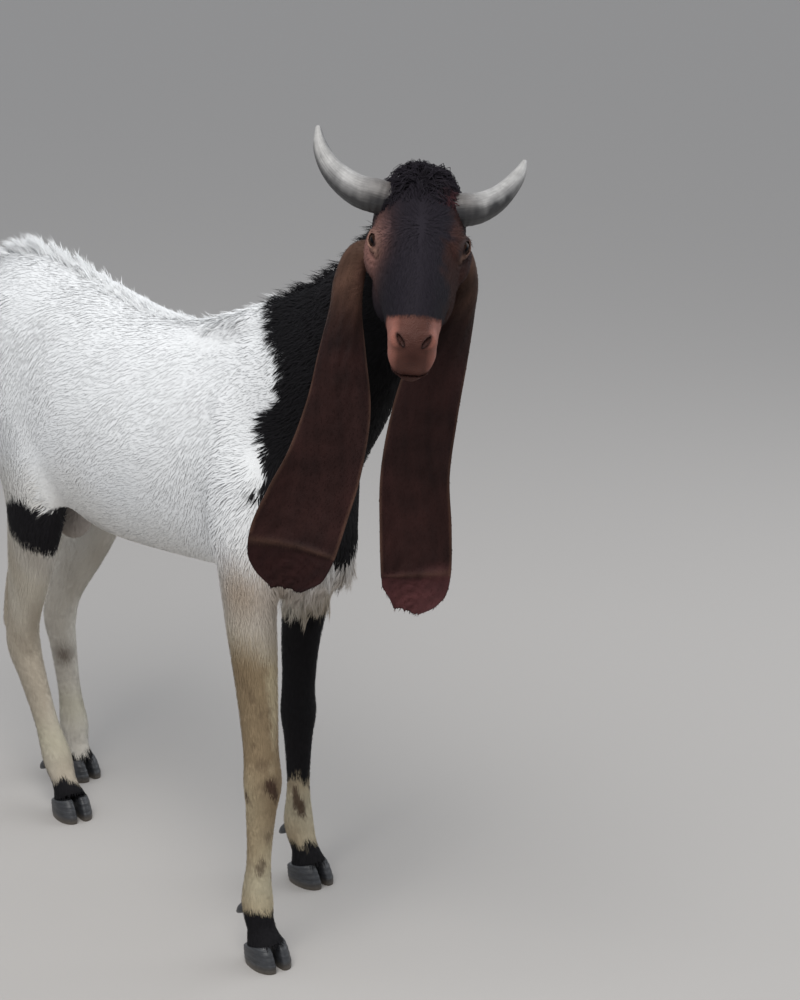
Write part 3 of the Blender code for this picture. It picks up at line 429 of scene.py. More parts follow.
thin.vertex_group = "body"
thin.ratio = (2 * on_head.sum() + BODY_TRIANGLES) / (2 * len(skin.data.vertices))
frozen(skin)
skin.vertex_groups.clear()


def solid(name, corners, faces):
    """A closed shape with its faces turned out."""
    made = new_object(name, corners, faces)
    shape = bmesh.new()
    shape.from_mesh(made.data)
    bmesh.ops.recalc_face_normals(shape, faces=shape.faces)
    shape.to_mesh(made.data)
    shape.free()
    return made


def combine(thing, operation, corners, faces):
    """Cut a closed shape out of a skin, or join it on."""
    tool = solid("tool", corners, faces)
    change = thing.modifiers.new("change", "BOOLEAN")
    change.operation = operation
    change.solver = "MANIFOLD"
    change.object = tool
    frozen(thing)
    bpy.data.objects.remove(tool, do_unlink=True)


NOSTRIL = [
    ((0.01, 0.1435, 0.0205), 0.0008, 0.0008), ((0.0122, 0.1405, 0.0234), 0.002, 0.0019),
    ((0.015, 0.137, 0.0258), 0.0018, 0.0016), ((0.0174, 0.1328, 0.0276), 0.0005, 0.0005),
]
MOUTH_HIGH = -0.0165
MOUTH_WIDE, MOUTH_DEEP, MOUTH_BACK = 0.03, 0.047, 0.106
for side in (-1, 1):
    corners, faces = ball(eye_frame(side)[0], (EYE_RADIUS + 0.0002,) * 3, 24)
    combine(skin, "DIFFERENCE", to_head(corners), faces)
    nostril = [((x * side, y, z), wide, deep) for (x, y, z), wide, deep in NOSTRIL]
    corners, faces = loft(pipe(nostril, 18, 20, (0, 0, 1)))
    combine(skin, "DIFFERENCE", to_head(corners), faces)
bends = []
for turn in np.linspace(-1.0, 1.0, 25):
    angle = turn * math.radians(100)
    high = MOUTH_HIGH + 0.003 * turn ** 2
    lip = (math.sin(angle) * MOUTH_WIDE, MOUTH_BACK + math.cos(angle) * MOUTH_DEEP, high)
    bends.append((lip, 0.001, 0.0055))
corners, faces = loft(pipe(bends, 60, 8, (0, 0, 1)))
combine(skin, "DIFFERENCE", to_head(corners), faces)

# The ears: long hanging leaves of thin skin, rolled to a cup at the root, with a fold down their
# length and a soft crosswise crease near the tip. They are lofted and join the skin at the roots.
EARS = {
    "ear_right": ([
        ((-0.07, -0.592, 1.014), 0.012, -0.7), ((-0.088, -0.568, 1.01), 0.0138, -0.78),
        ((-0.097, -0.558, 0.978), 0.017, -0.72), ((-0.103, -0.558, 0.94), 0.0195, -0.52),
        ((-0.112, -0.562, 0.884), 0.0295, -0.28), ((-0.117, -0.561, 0.82), 0.0405, -0.06),
        ((-0.128, -0.549, 0.752), 0.0475, 0.14), ((-0.143, -0.535, 0.7), 0.0525, 0.2),
        ((-0.158, -0.524, 0.652), 0.055, 0.2), ((-0.163, -0.52, 0.618), 0.046, 0.2),
        ((-0.164, -0.516, 0.594), 0.02, 0.2)], (-0.72, -0.66, 0.12)),
    "ear_left": ([
        ((-0.006, -0.644, 1.012), 0.012, -0.7), ((0.005, -0.645, 1.006), 0.014, -0.78),
        ((0.008, -0.646, 0.975), 0.018, -0.72), ((0.0, -0.642, 0.94), 0.024, -0.52),
        ((-0.014, -0.631, 0.884), 0.034, -0.28), ((-0.03, -0.622, 0.815), 0.04, -0.06),
        ((-0.042, -0.617, 0.74), 0.042, 0.14), ((-0.042, -0.618, 0.67), 0.044, 0.2),
        ((-0.043, -0.62, 0.615), 0.043, 0.2), ((-0.048, -0.618, 0.59), 0.037, 0.2),
        ((-0.054, -0.614, 0.568), 0.016, 0.2)], (-0.55, -0.8, 0.15)),
}
EAR_THICK = 0.0042
EAR_ROWS, EAR_COLUMNS = 130, 30


def ripple(points, scale, seed):
    """A smooth random field over space, from about -1 to 1."""
    draw = np.random.default_rng(seed)
    made = np.zeros(len(points))
    for _ in range(7):
        way = unit(draw.normal(size=3)) * scale * draw.uniform(0.6, 1.5)
        made += np.sin(points @ way + draw.uniform(0, 6.28))
    return made / 3.2


def ear_shape(bends, faces, inner):
    """Corners of an ear, with for each its place along, across and which face it is on."""
    rows = through([(*middle, half, curl) for middle, half, curl in bends], EAR_ROWS)
    middles = rows[:, :3]
    ahead = unit(np.gradient(middles, axis=0))
    faces = np.array(faces)
    out = unit(faces - ahead * (ahead @ faces)[:, None])
    across = np.cross(ahead, out)
    place = np.linspace(-1, 1, EAR_COLUMNS)
    place = np.sin(place * math.pi / 2)
    rings, marks = [], []
    for i, row in enumerate(rows):
        s = i / (EAR_ROWS - 1)
        half, lean = row[3], math.copysign(max(abs(row[4]) * math.radians(150), 0.02), row[4])
        radius = half / math.sin(min(abs(lean), math.pi / 2))
        low = min(max((s - 0.2) / 0.15, 0), 1)
        top = math.exp(-((s - 0.17) / 0.11) ** 2)
        ring = []
        for face, order in ((1, place), (-1, place[::-1])):
            thin = EAR_THICK / 2 * (0.35 + 0.65 * (1 - order ** 2))
            x = radius * np.sin(order * abs(lean)) - face * thin * np.sin(order * lean)
            folds = 0.0012 * top * np.sin(order * 15 + 5 * math.sin(s * 70))
            z = math.copysign(radius, lean) * (math.cos(lean * 0.5) - np.cos(order * lean))
            z = z + face * thin * np.cos(order * lean)
            z = z + low * 0.0014 * np.exp(-((order - 0.1) / 0.08) ** 2) * (1 + 0.5 * math.sin(s * 300))
            z = z + low * 0.0024 * np.sin(s * 17 + order * 2.4) * (0.3 + order ** 2)
            z = z + low * 0.0007 * np.sin(order * 12 + 3 * math.sin(s * 8)) * (1 - order ** 2)
            z = z + low * 0.0005 * np.sin(s * 140 + 5 * np.sin(order * 4 + s * 9)) * (1 - order ** 2)
            z = z + 0.0034 * np.exp(-((s - 0.805 - 0.012 * order) / 0.011) ** 2) * (1 - order ** 4)
            z = z + folds * np.clip(order * inner + 0.1, 0, 1)
            z = z + 0.001 * top * np.sin(s * 190 + order * 6) * np.clip(order * inner - 0.1, 0, 1)
            rag = 0.0016 * np.sin(order * 9 + 1) + 0.0012 * np.sin(order * 23)
            end = min(max((s - 0.9) / 0.1, 0), 1)
            down = ahead[i] * (rag * end)[:, None]
            ring.append(middles[i] + across[i] * x[:, None] + out[i] * z[:, None] + down)
            marks.append(np.stack([np.full(len(order), s), order, np.full(len(order), face)], axis=-1))
        rings.append(np.vstack(ring))
    return np.array(rings), np.vstack(marks), np.repeat(ahead, EAR_COLUMNS * 2, axis=0)


# The lie of the coat: every place on the skin is tied to the nearest stretch of trunk, neck, head,
# leg or tail, which gives its part, its way of hair, and its place on a flat plan of the skin.
PARTS = ["trunk", "neck", "head", "leg_fore_right", "leg_fore_left", "leg_hind_right", "leg_hind_left",
         "tail", "scrotum", "ear_right", "ear_left"]
EAR_NUMBER = PARTS.index("ear_right")
LEG_SHARES = slice(PARTS.index("leg_fore_right"), PARTS.index("leg_hind_left") + 1)
stretches = []


def add_stretch(part, middles, radii, flip=False):
    middles = np.asarray(middles)
    ahead = unit(np.gradient(middles, axis=0)) * (-1 if flip else 1)
    s = np.linspace(0, 1, len(middles))
    stretches.append(np.column_stack([middles, ahead, radii, s, np.full(len(middles), PARTS.index(part))]))


def sections_of(rows):
    """Middles and mean radii of a table's sections."""
    middles = np.column_stack([rows[:, 0] * 0, rows[:, 0], (rows[:, 1] + rows[:, 2]) / 2])
    return middles, np.sqrt(rows[:, 3] * (rows[:, 1] - rows[:, 2]) / 2)


add_stretch("trunk", *sections_of(through(TRUNK, 50)))
rows = through([(*m, a, b) for m, a, b in NECK[1:]], 40)
add_stretch("neck", rows[:, :3], np.sqrt(rows[:, 3] * rows[:, 4]), flip=True)
middles, radii = sections_of(through(SKULL, 40))
add_stretch("head", to_head(middles), radii * HEAD_SIZE, flip=True)
for name, (path, sizes) in LEGS.items():
    rows = through([(*m, *s) for m, s in zip(path, sizes)], 60)
    add_stretch(name, rows[6:, :3], np.sqrt(rows[6:, 3] * rows[6:, 4]))
rows = through([(*m, a, b) for m, a, b in TAIL], 20)
add_stretch("tail", rows[4:, :3], rows[4:, 3])
rows = through([(*m, a, b) for m, a, b in SCROTUM], 16)
add_stretch("scrotum", rows[5:, :3], rows[5:, 3] * 0.8)
STRETCHES = np.vstack(stretches)


def tie(points):
    """For points on the skin: shares of each part, nearest part, place on it, turn round it, its way."""
    shares, part, along, turn, way = [], [], [], [], []
    member = np.eye(len(PARTS))[STRETCHES[:, 8].astype(int)]
    for chunk in np.array_split(points, max(len(points) // 8000, 1)):
        gap = np.linalg.norm(chunk[:, None] - STRETCHES[None, :, :3], axis=-1) / STRETCHES[:, 6]
        best = gap.argmin(axis=1)
        weight = np.exp(-(gap - gap[np.arange(len(chunk)), best][:, None]) / 0.16)
        way.append(unit(weight @ STRETCHES[:, 3:6]))
        shares.append(weight @ member / weight.sum(1, keepdims=True))
        row = STRETCHES[best]
        rel = chunk - row[:, :3]
        side = np.tile((1.0, 0.0, 0.0), (len(chunk), 1))
        side = unit(side - row[:, 3:6] * (side * row[:, 3:6]).sum(1, keepdims=True))
        up = np.cross(row[:, 3:6], side)
        turn.append(np.arctan2((rel * up).sum(1), (rel * side).sum(1)) / (2 * math.pi) + 0.5)
        part.append(row[:, 8].astype(int))
        along.append(row[:, 7])
    return np.vstack(shares), *(np.concatenate(rows) for rows in (part, along, turn)), np.vstack(way)


def is_part(part, *names):
    return np.isin(part, [PARTS.index(name) for name in names])


def lie_of(points, normals, shares, way):
    """The way the hair lies: back and down over the flanks, along neck, legs and tail."""
    middle = np.interp(points[:, 1], [row[0] for row in TRUNK], [(row[1] + row[2]) / 2 for row in TRUNK])
    tall = np.interp(points[:, 1], [row[0] for row in TRUNK], [(row[1] - row[2]) / 2 for row in TRUNK])
    high = np.clip((points[:, 2] - middle) / tall, -1, 1)
    fall = 0.95 * (1 - high ** 2) + 0.1
    limb = np.interp(points[:, 1], [-0.36, -0.26, -0.14, 0.12, 0.26, 0.4], [1.3, 1.1, 0.0, 0.0, 0.9, 1.4])
    outward = np.sign(points[:, 0]) * np.clip(high, 0, 1) ** 3 * 0.5
    over = np.column_stack([outward, np.ones(len(points)), -fall - limb * np.clip(0.9 - high, 0, 1)])
    trunk, neck, head = (shares[:, PARTS.index(name)][:, None] for name in ("trunk", "neck", "head"))
    axes = np.array([list(axis) for axis in head_axes()])
    spot = from_head(points)
    nose = np.clip(spot[:, 1] / 0.04, -1, 1)
    face = nose[:, None] * axes[1] - 0.25 * axes[2] + np.sign(spot[:, :1]) * 0.35 * axes[0]
    lie = trunk * unit(over) + neck * unit(way + (0, 0.25, -0.1)) + head * unit(face)
    lie = lie + (1 - trunk - neck - head) * way
    lie = unit(lie - normals * (lie * normals).sum(1, keepdims=True))
    side = np.cross(normals, lie)
    angle = 0.3 * ripple(points, 26, 5) + 0.22 * ripple(points, 75, 6)
    angle *= 0.5 + 0.5 * (trunk + neck)[:, 0]
    return unit(lie * np.cos(angle)[:, None] + side * np.sin(angle)[:, None])


# Markings, the same on skin and hair: white body, black head and neck, maroon ears, a black patch
# on the left foreleg and on the right thigh, brown spots on stained legs, black above the hooves.
# Legs and belly turn creamier and darker towards the ground, partly stain and partly painted shade.
WHITE = np.array((0.8, 0.81, 0.815))
# Cream for the low body and legs: partly stain, partly painted shade under the body.
CREAM_STAIN_AND_SHADE = np.array((0.45, 0.365, 0.225))
TAN = np.array((0.2, 0.13, 0.07))
BROWN = np.array((0.07, 0.042, 0.028))
BLACK = np.array((0.0075, 0.0068, 0.008))
FACE_BLACK = np.array((0.0125, 0.01, 0.0145))
CHEEK_RIGHT = np.array((0.185, 0.092, 0.078))
CHEEK_LEFT = np.array((0.036, 0.015, 0.012))
LID_TAN = np.array((0.25, 0.142, 0.108))
MUZZLE = np.array((0.086, 0.034, 0.0255))
NOSE_DARK = np.array((0.032, 0.0105, 0.008))
# Painted shade for hollows: inside the eye sockets, the nostrils and the mouth's slit.
PAINTED_HOLLOW_SHADE = np.array((0.01, 0.005, 0.005))
EAR_TOP = np.array((0.09, 0.047, 0.032))
EAR_DARK = np.array((0.0215, 0.0078, 0.0068))
# The right ear's tip: maroon, darkened further by painted shade of its inward-curled end.
EAR_TIP_RIGHT_AND_SHADE = np.array((0.018, 0.0052, 0.0048))
EAR_TIP_LEFT = np.array((0.066, 0.0215, 0.022))
EAR_INNER = np.array((0.135, 0.068, 0.052))
NECK_EDGE = [
    (0.545, -0.44), (0.56, -0.402), (0.58, -0.38), (0.62, -0.368), (0.681, -0.357), (0.736, -0.345),
    (0.789, -0.364), (0.836, -0.364), (0.865, -0.318), (0.893, -0.287), (0.95, -0.24),
]
THIGH_PATCH = ((0.184, 0.486), (0.97, 0.24), 0.082, 0.04)


def blend(colours, colour, amount):
    return colours + (colour - colours) * np.clip(amount, 0, 1)[:, None]


def step(value, width):
    return np.clip(value / width + 0.5, 0, 1)


def near(points, middle, radii):
    """1 at a place, falling softly to 0 about one radius away."""
    return np.exp(-(((points - np.array(middle)) / np.array(radii)) ** 2).sum(1))


def legs_and_patches(colours, points, part, rough):
    x, y, z = points.T
    each = [is_part(part, name) for name in LEGS]
    fore_right, fore_left = each[:2]
    legs = is_part(part, *LEGS)
    soft = ripple(points, 22, 13)
    share = np.select(each, [0.95, 0.9, 0.66, 0.5], 0.35)
    # Legs and belly go creamier and darker towards the ground: partly stain, partly painted shade.
    colours = blend(colours, CREAM_STAIN_AND_SHADE, share * step(0.5 - z + 0.04 * soft, 0.16))
    # A tan spot low on the chest between the forelegs: partly tan hair, partly painted shade under the
    # chest.
    colours = blend(colours, TAN * 1.4, 0.72 * near(points[:, 1:], (-0.345, 0.535), (0.06, 0.05)))
    streaks = np.clip(0.5 + 0.7 * ripple(points * np.array((1, 1, 0.3)), 75, 14), 0, 1)
    share = np.select(each, [0.72, 0.5, 0.34, 0.2], 0.0)
    colours = blend(colours, TAN, share * streaks * step(0.5 - z, 0.08))
    outer = fore_right * step(-0.097 - x + rough, 0.012) * step(z - 0.27, 0.06) * step(0.46 - z, 0.06)
    colours = blend(colours, TAN, 0.7 * outer)
    pale = legs * np.exp(-((z - 0.115) / 0.03) ** 2) * (0.5 + 0.3 * soft)
    colours = blend(colours, WHITE * np.array((0.62, 0.57, 0.42)), pale)
    spots = step(ripple(points, 105, 15) + 0.45 * ripple(points, 240, 16) - 1.0, 0.35)
    share = np.where(fore_right, 0.45 + np.exp(-((z - 0.25) / 0.09) ** 2), np.where(fore_left, 0.9, 0.15))
    colours = blend(colours, BROWN, spots * share * legs * step(0.4 - z, 0.05))
    for middle, size, amount in (((-0.1, -0.388, 0.268), 0.011, 0.95), ((-0.108, -0.378, 0.3), 0.007, 0.6),
                                 ((-0.095, -0.375, 0.19), 0.008, 0.6), ((0.085, -0.205, 0.225), 0.01, 0.9),
                                 ((0.082, -0.198, 0.12), 0.009, 0.8), ((0.037, 0.376, 0.198), 0.016, 0.8)):
        colours = blend(colours, BROWN, amount * near(points, middle, (size * 1.3, size * 1.3, size)))
    inner_rise = np.clip((0.092 - x) / 0.03, 0, 1) * 0.035
    patch = step(0.43 - z + rough * 1.5, 0.006) * step(z - 0.152 - inner_rise + rough * 1.2, 0.006)
    colours = blend(colours, BLACK, fore_left * patch)
    (my, mz), (ay, az), long, wide = THIGH_PATCH
    u, v = (y - my) * ay + (z - mz) * az, (z - mz) * ay - (y - my) * az
    inside = 1 - (abs(u / long) ** 2.4 + abs(v / wide) ** 2.4) ** (1 / 2.4)
    colours = blend(colours, BLACK * 1.4, step(inside + rough * 10, 0.06) * (x < -0.03))
    band = np.select(each, [0.077, 0.06, 0.056, 0.044], 0.0)
    return blend(colours, BLACK, step(band - z + rough, 0.005) * legs)


def eye_markings(colours, spot, head, side):
    """Tan lids with a darker edge above, and painted shade on the skin inside the socket."""
    middle, outward, along, up = eye_frame(side)
    rel = spot - middle - outward * EYE_RADIUS * LID_OUT
    out, high = abs(rel @ outward), rel @ up
    reach = np.hypot((rel @ along) / LID_LONG, high / LID_TALL)
    rim = np.exp(-((reach - 1.0) / 0.5) ** 2) * (out < 0.012) * head
    lower = step(-high, 0.004)
    colours = blend(colours, LID_TAN * (1.0 if side < 0 else 0.5), rim * (0.45 + 0.5 * lower))
    colours = blend(colours, BLACK * 2, (0.35 if side < 0 else 0.7) * rim * (1 - lower))
    # The skin inside the socket is painted near black: painted shade in the hollow.
    return blend(colours, PAINTED_HOLLOW_SHADE, step(0.66 - reach, 0.1) * (out < 0.008) * head)


def head_markings(colours, bare, points, part, rough):
    head = is_part(part, "head")
    spot = from_head(points)
    x, y, z = spot.T
    blotch = 1 + 0.3 * ripple(points, 90, 17)
    colours = blend(colours, FACE_BLACK, head)
    cheek = near(spot, (-0.049, -0.004, 0.012), (0.017, 0.036, 0.034))
    colours = blend(colours, CHEEK_RIGHT, 1.3 * head * cheek * blotch)
    ragged = 0.0045 * ripple(points, 70, 22) + rough
    left = step(x - 0.031 + ragged, 0.017) * step(0.085 - y, 0.06) * step(y + 0.05, 0.03)
    colours = blend(colours, CHEEK_LEFT, 0.9 * head * left * blotch)
    for side in (-1, 1):
        colours = eye_markings(colours, spot, head, side)
    edge = np.maximum(0.0813 + 0.97 * z, 0.092)
    snout = step(y - edge + rough * 0.3 + 0.0016 * ripple(points, 95, 23), 0.0075) * head
    pink = MUZZLE * (1 + 0.16 * ripple(points, 130, 18))[:, None]
    pink = blend(pink, NOSE_DARK, 0.75 * near(spot, (0.0, 0.15, 0.01), (0.013, 0.02, 0.013)))
    pink = blend(pink, NOSE_DARK, 0.65 * step(-0.012 - z, 0.01))
    pink = blend(pink, MUZZLE * 3.2, 0.9 * step(abs(x) - 0.0185, 0.008) * step(z + 0.014, 0.01))
    colours = blend(colours, pink * (0.3 + 0.7 * snout)[:, None], np.clip(snout * 2.2, 0, 1))
    rows = through([(*middle, wide) for middle, wide, _ in NOSTRIL], 12)
    for side in (-1, 1):
        middles = rows[None, :, :3] * np.array((side, 1, 1))
        gap = np.linalg.norm(spot[:, None] - middles, axis=-1) - rows[:, 3]
        # Round each nostril a ring of painted shade, and near-black painted shade inside it.
        colours = blend(colours, NOSE_DARK, 0.7 * step(0.002 - gap.min(axis=1), 0.0028) * head)
        colours = blend(colours, PAINTED_HOLLOW_SHADE, 0.85 * step(0.0008 - gap.min(axis=1), 0.0009) * head)
    # A dark line along the mouth's slit: painted shade in the crease.
    line = np.exp(-((z - MOUTH_HIGH - 0.003 * (x / 0.03) ** 2) / 0.0016) ** 2) * step(y - 0.108, 0.01)
    colours = blend(colours, PAINTED_HOLLOW_SHADE * 2, 0.8 * line * snout)
    return colours, np.maximum(bare, snout)


def ear_markings(colours, bare, points, part, along, across):
    ears = part >= EAR_NUMBER
    right = is_part(part, "ear_right")
    ear = EAR_TOP + (EAR_DARK - EAR_TOP) * np.clip((along - 0.17) / 0.2, 0, 1)[:, None]
    tip = np.where(right[:, None], EAR_TIP_RIGHT_AND_SHADE, EAR_TIP_LEFT)
    # Past the crease the tips change colour; on the right ear the darkness is partly painted shade.
    ear = blend(ear, tip, step(along - 0.8 + 0.025 * ripple(points, 60, 19), 0.05) * 0.9)
    ear = blend(ear, EAR_DARK * 0.65, 0.7 * np.exp(-((along - 0.345) / 0.055) ** 2 - (across / 1.3) ** 4))
    inner = np.where(right, -across, across)
    ear = blend(ear, EAR_INNER, 0.8 * step(inner - 0.25, 0.3) * np.exp(-((along - 0.15) / 0.1) ** 2))
    ear = blend(ear, EAR_TOP, 0.55 * step(abs(across) - 0.95, 0.06) * (along > 0.2) * (along < 0.8))
    # A lighter line along the crosswise crease near the tip: a painted highlight on its ridge.
    ear = blend(ear, EAR_TOP * 0.8, 0.5 * np.exp(-((along - 0.805 - 0.012 * across) / 0.008) ** 2))
    veins = np.sin(across * 13 + 5 * np.sin(along * 11)) * np.sin(across * 5 + along * 23)
    ear = ear * (1 + 0.26 * ripple(points, 46, 20) + 0.16 * ripple(points, 170, 21) + 0.16 * veins)[:, None]
    return np.where(ears[:, None], ear, colours), np.where(ears, 0.45, bare)


def markings(points, part, along, across):
    """Colour of skin and hair at points on the goat, and how bare the skin is there."""
    y, z = points[:, 1], points[:, 2]
    rough = 0.007 * ripple(points, 120, 11) + 0.004 * ripple(points, 330, 12)
    colours = legs_and_patches(np.tile(WHITE, (len(points), 1)), points, part, rough)
    edge = np.interp(z, [row[0] for row in NECK_EDGE], [row[1] for row in NECK_EDGE])
    edge = edge + 0.012 * np.sin(z * 30 + 2) * (points[:, 0] > 0)
    neck = step(edge - y + rough * 1.4 + 0.002 * ripple(points, 45, 24), 0.006)
    neck = neck * (z > 0.545) * ~is_part(part, "leg_fore_left")
    colours = blend(colours, BLACK, neck)
    bare = np.where(is_part(part, "scrotum"), 0.7, 0.0)
    colours = blend(colours, np.array((0.2, 0.15, 0.12)), bare)
    colours, bare = head_markings(colours, bare, points, part, rough)
    colours, bare = ear_markings(colours, bare, points, part, along, across)
    return np.clip(colours, 0.004, 0.95), bare


# The skin itself: flesh and ears in one piece, set in under the coat by the coat's depth, with
# folds round the eyes and muzzle. Short hair on face, legs and ears is a fine bump in its material.
DEPTHS = {"trunk": 0.003, "neck": 0.0042, "head": 0.0013, "tail": 0.006, "scrotum": 0.001}
LEG_DEPTH = 0.0017


def triangles_of(mesh):
    mesh.calc_loop_triangles()
    flat = np.zeros(len(mesh.loop_triangles) * 3, dtype=np.int32)
    mesh.loop_triangles.foreach_get("vertices", flat)
    return flat.reshape(-1, 3)


flesh, flesh_tris = points_of(skin.data), triangles_of(skin.data)
bpy.data.objects.remove(skin, do_unlink=True)


def corner_normals(points, tris):
    a, b, c = points[tris[:, 0]], points[tris[:, 1]], points[tris[:, 2]]
    face = np.cross(b - a, c - a)
    made = np.zeros_like(points)
    for i in range(3):
        for axis in range(3):
            made[:, axis] += np.bincount(tris[:, i], weights=face[:, axis], minlength=len(points))
    return unit(made)


def neighbours(tris):
    return np.vstack([tris[:, [0, 1]], tris[:, [1, 2]], tris[:, [2, 0]]])


def relaxed(points, pairs, amount, rounds):
    """Points drawn toward the middle of their neighbours, each by its own amount."""
    count = np.maximum(np.bincount(pairs[:, 0], minlength=len(points)), 1)
    for _ in range(rounds):
        total = np.stack([np.bincount(pairs[:, 0], weights=points[pairs[:, 1], axis], minlength=len(points))
                          for axis in range(3)], axis=-1)
        points = points + (total / count[:, None] - points) * amount[:, None]
    return points


share, part, along, turn, way = tie(flesh)
muscle = share[:, 0] + share[:, 1] + share[:, LEG_SHARES].sum(1)
muscle = muscle * np.clip((flesh[:, 2] - LIMB_TOP) / 0.07, 0, 1)
flesh = relaxed(flesh, neighbours(flesh_tris), muscle * 0.6, 70)
flesh_normals = corner_normals(flesh, flesh_tris)
depth = share @ np.array([DEPTHS.get(name, 0.0) for name in PARTS])
depth += share[:, LEG_SHARES].sum(1) * np.interp(flesh[:, 2], [0.3, 0.5], [LEG_DEPTH, 0.0034])
spot = from_head(flesh)
on_head = is_part(part, "head")
fold = np.zeros(len(flesh))
for side in (-1, 1):
    rel = spot - np.array((0.0515 * side, 0.004, 0.03))
    reach = np.linalg.norm(rel, axis=1)
    below = np.clip(-(rel[:, 2] + 0.35 * rel[:, 1]) / 0.01, 0, 1)
    wave = np.cos((reach - 0.0165) * 2 * math.pi / 0.0062)
    fold += on_head * below * np.exp(-((reach - 0.019) / 0.009) ** 2) * wave * 0.0008
    nose = (spot - np.array((0.014 * side, 0.1385, 0.025))) / (1.3, 1.0, 1.0)
    fold += on_head * np.exp(-(np.linalg.norm(nose, axis=1) - 0.0085) ** 2 / 0.0028 ** 2) * 0.0009
fold += on_head * (spot[:, 1] > 0.1) * ripple(flesh, 420, 31) * 0.00018
throat = np.sin((flesh[:, 1] - flesh[:, 2]) * 95 + 2 * ripple(flesh, 20, 32))
fold += share[:, PARTS.index("neck")] * 0.001 * throat * np.clip((flesh[:, 2] - 0.8) / 0.1, 0, 1)
flesh = flesh + flesh_normals * (fold - depth)[:, None]
flesh_lie = lie_of(flesh, flesh_normals, share, way)
skin = new_object("skin", flesh, flesh_tris.tolist())
sources = [(flesh, part, along, turn, np.zeros(len(flesh)), np.zeros(len(flesh)), flesh_lie, share)]
for name, (bends, faces) in EARS.items():
    rings, marks, ahead = ear_shape(bends, faces, -1 if name == "ear_right" else 1)
    corners, polygons = loft(rings)
    combine(skin, "UNION", corners, polygons)
    turned = 0.25 + 0.22 * marks[:, 1] + 0.5 * (marks[:, 2] < 0)
    number = PARTS.index(name)
    all_ear = np.tile(np.eye(len(PARTS))[number], (len(corners), 1))
    sources.append((corners, np.full(len(corners), number), marks[:, 0], turned, marks[:, 0], marks[:, 1],
                    ahead, all_ear))


def tree_of(places, numbers):
    """A search tree over the places with these numbers."""
    tree = KDTree(len(numbers))
    for i in numbers:
        tree.insert(places[i], i)
    tree.balance()
    return tree


points, tris = points_of(skin.data), triangles_of(skin.data)
bpy.data.objects.remove(skin, do_unlink=True)
origin = np.vstack([source[0] for source in sources])
tree = tree_of(origin, range(len(origin)))
nearest = np.array([tree.find(place)[1] for place in points])
parts, alongs, turns, ear_along, ear_across, lies, shares = (
    np.concatenate([source[i] for source in sources])[nearest] for i in range(1, 8))

# Where an ear leaves the head the crease is rounded off, as skin does: the points that lie close
# to both ear and head are drawn together.
CREASE = 0.006
ear_tree = tree_of(points, np.nonzero(parts >= EAR_NUMBER)[0])
flesh_tree = tree_of(points, np.nonzero(parts < EAR_NUMBER)[0])
root_area = np.linalg.norm(points - np.array(HEAD.translation), axis=1) < 0.16
band = np.array([i for i in np.nonzero(root_area)[0]
                 if ear_tree.find(points[i])[2] < CREASE and flesh_tree.find(points[i])[2] < CREASE])
crease = np.zeros(len(points))
crease[band] = 0.6
points = relaxed(points, neighbours(tris), crease, 12)
normals = corner_normals(points, tris)
lies = unit(lies - normals * (lies * normals).sum(1, keepdims=True))
colours, bare = markings(points, parts, ear_along, ear_across)


def quick_mesh(name, corners, triangles, colours, uvs=None, leans=None):
    """A mesh from arrays, moved to the frame, with its colours, its bake plan and soft normals."""
    mesh = bpy.data.meshes.new(name)
    mesh.vertices.add(len(corners))
    mesh.vertices.foreach_set("co", (corners + np.array(SHIFT)).ravel())
    mesh.loops.add(len(triangles) * 3)
    mesh.loops.foreach_set("vertex_index", triangles.ravel().astype(np.int32))
    mesh.polygons.add(len(triangles))
    mesh.polygons.foreach_set("loop_start", np.arange(len(triangles), dtype=np.int32) * 3)
    if uvs is not None:
        plan = mesh.uv_layers.new(name="OFBake")
        plan.data.foreach_set("uv", uvs[triangles.ravel()].ravel())
    mesh.update(calc_edges=True)
    tint = mesh.color_attributes.new("coat", "FLOAT_COLOR", "POINT")
    tint.data.foreach_set("color", colours.ravel())
    mesh.shade_smooth()
    if leans is not None:
        mesh.normals_split_custom_set_from_vertices(leans.tolist())
    made = bpy.data.objects.new(name, mesh)
    bpy.context.scene.collection.objects.link(made)
    return made


skin = quick_mesh("skin", points, tris, np.column_stack([colours, bare]))
GRAINS = [(0.0, 0.78, -0.62), (0.0, 0.1, -1.0), tuple(head_axes()[1]), (0.0, 1.0, 0.0)]
share = np.stack([np.clip(abs(lies @ unit(np.array(grain))), 0, 1) ** 8 for grain in GRAINS], axis=-1)
share /= np.maximum(share.sum(1, keepdims=True), 1e-6)
grain_map = skin.data.color_attributes.new("grain", "FLOAT_COLOR", "POINT")
grain_map.data.foreach_set("color", share.ravel())

variation = bpy.data.node_groups.new("coat_variation", "ShaderNodeTree")
variation.interface.new_socket("Color", in_out="INPUT", socket_type="NodeSocketColor")
for name, value in (("Scale", 60.0), ("Amount", 0.2)):
    variation.interface.new_socket(name, in_out="INPUT", socket_type="NodeSocketFloat").default_value = value
variation.interface.new_socket("Color", in_out="OUTPUT", socket_type="NodeSocketColor")
ways_in = variation.nodes.new("NodeGroupInput")
ways_out = variation.nodes.new("NodeGroupOutput")
where = add(variation, "TexCoord")


def noise(tree, place, scale, detail):
    return add(tree, "TexNoise", Vector=place, Scale=scale, Detail=detail).outputs["Fac"]


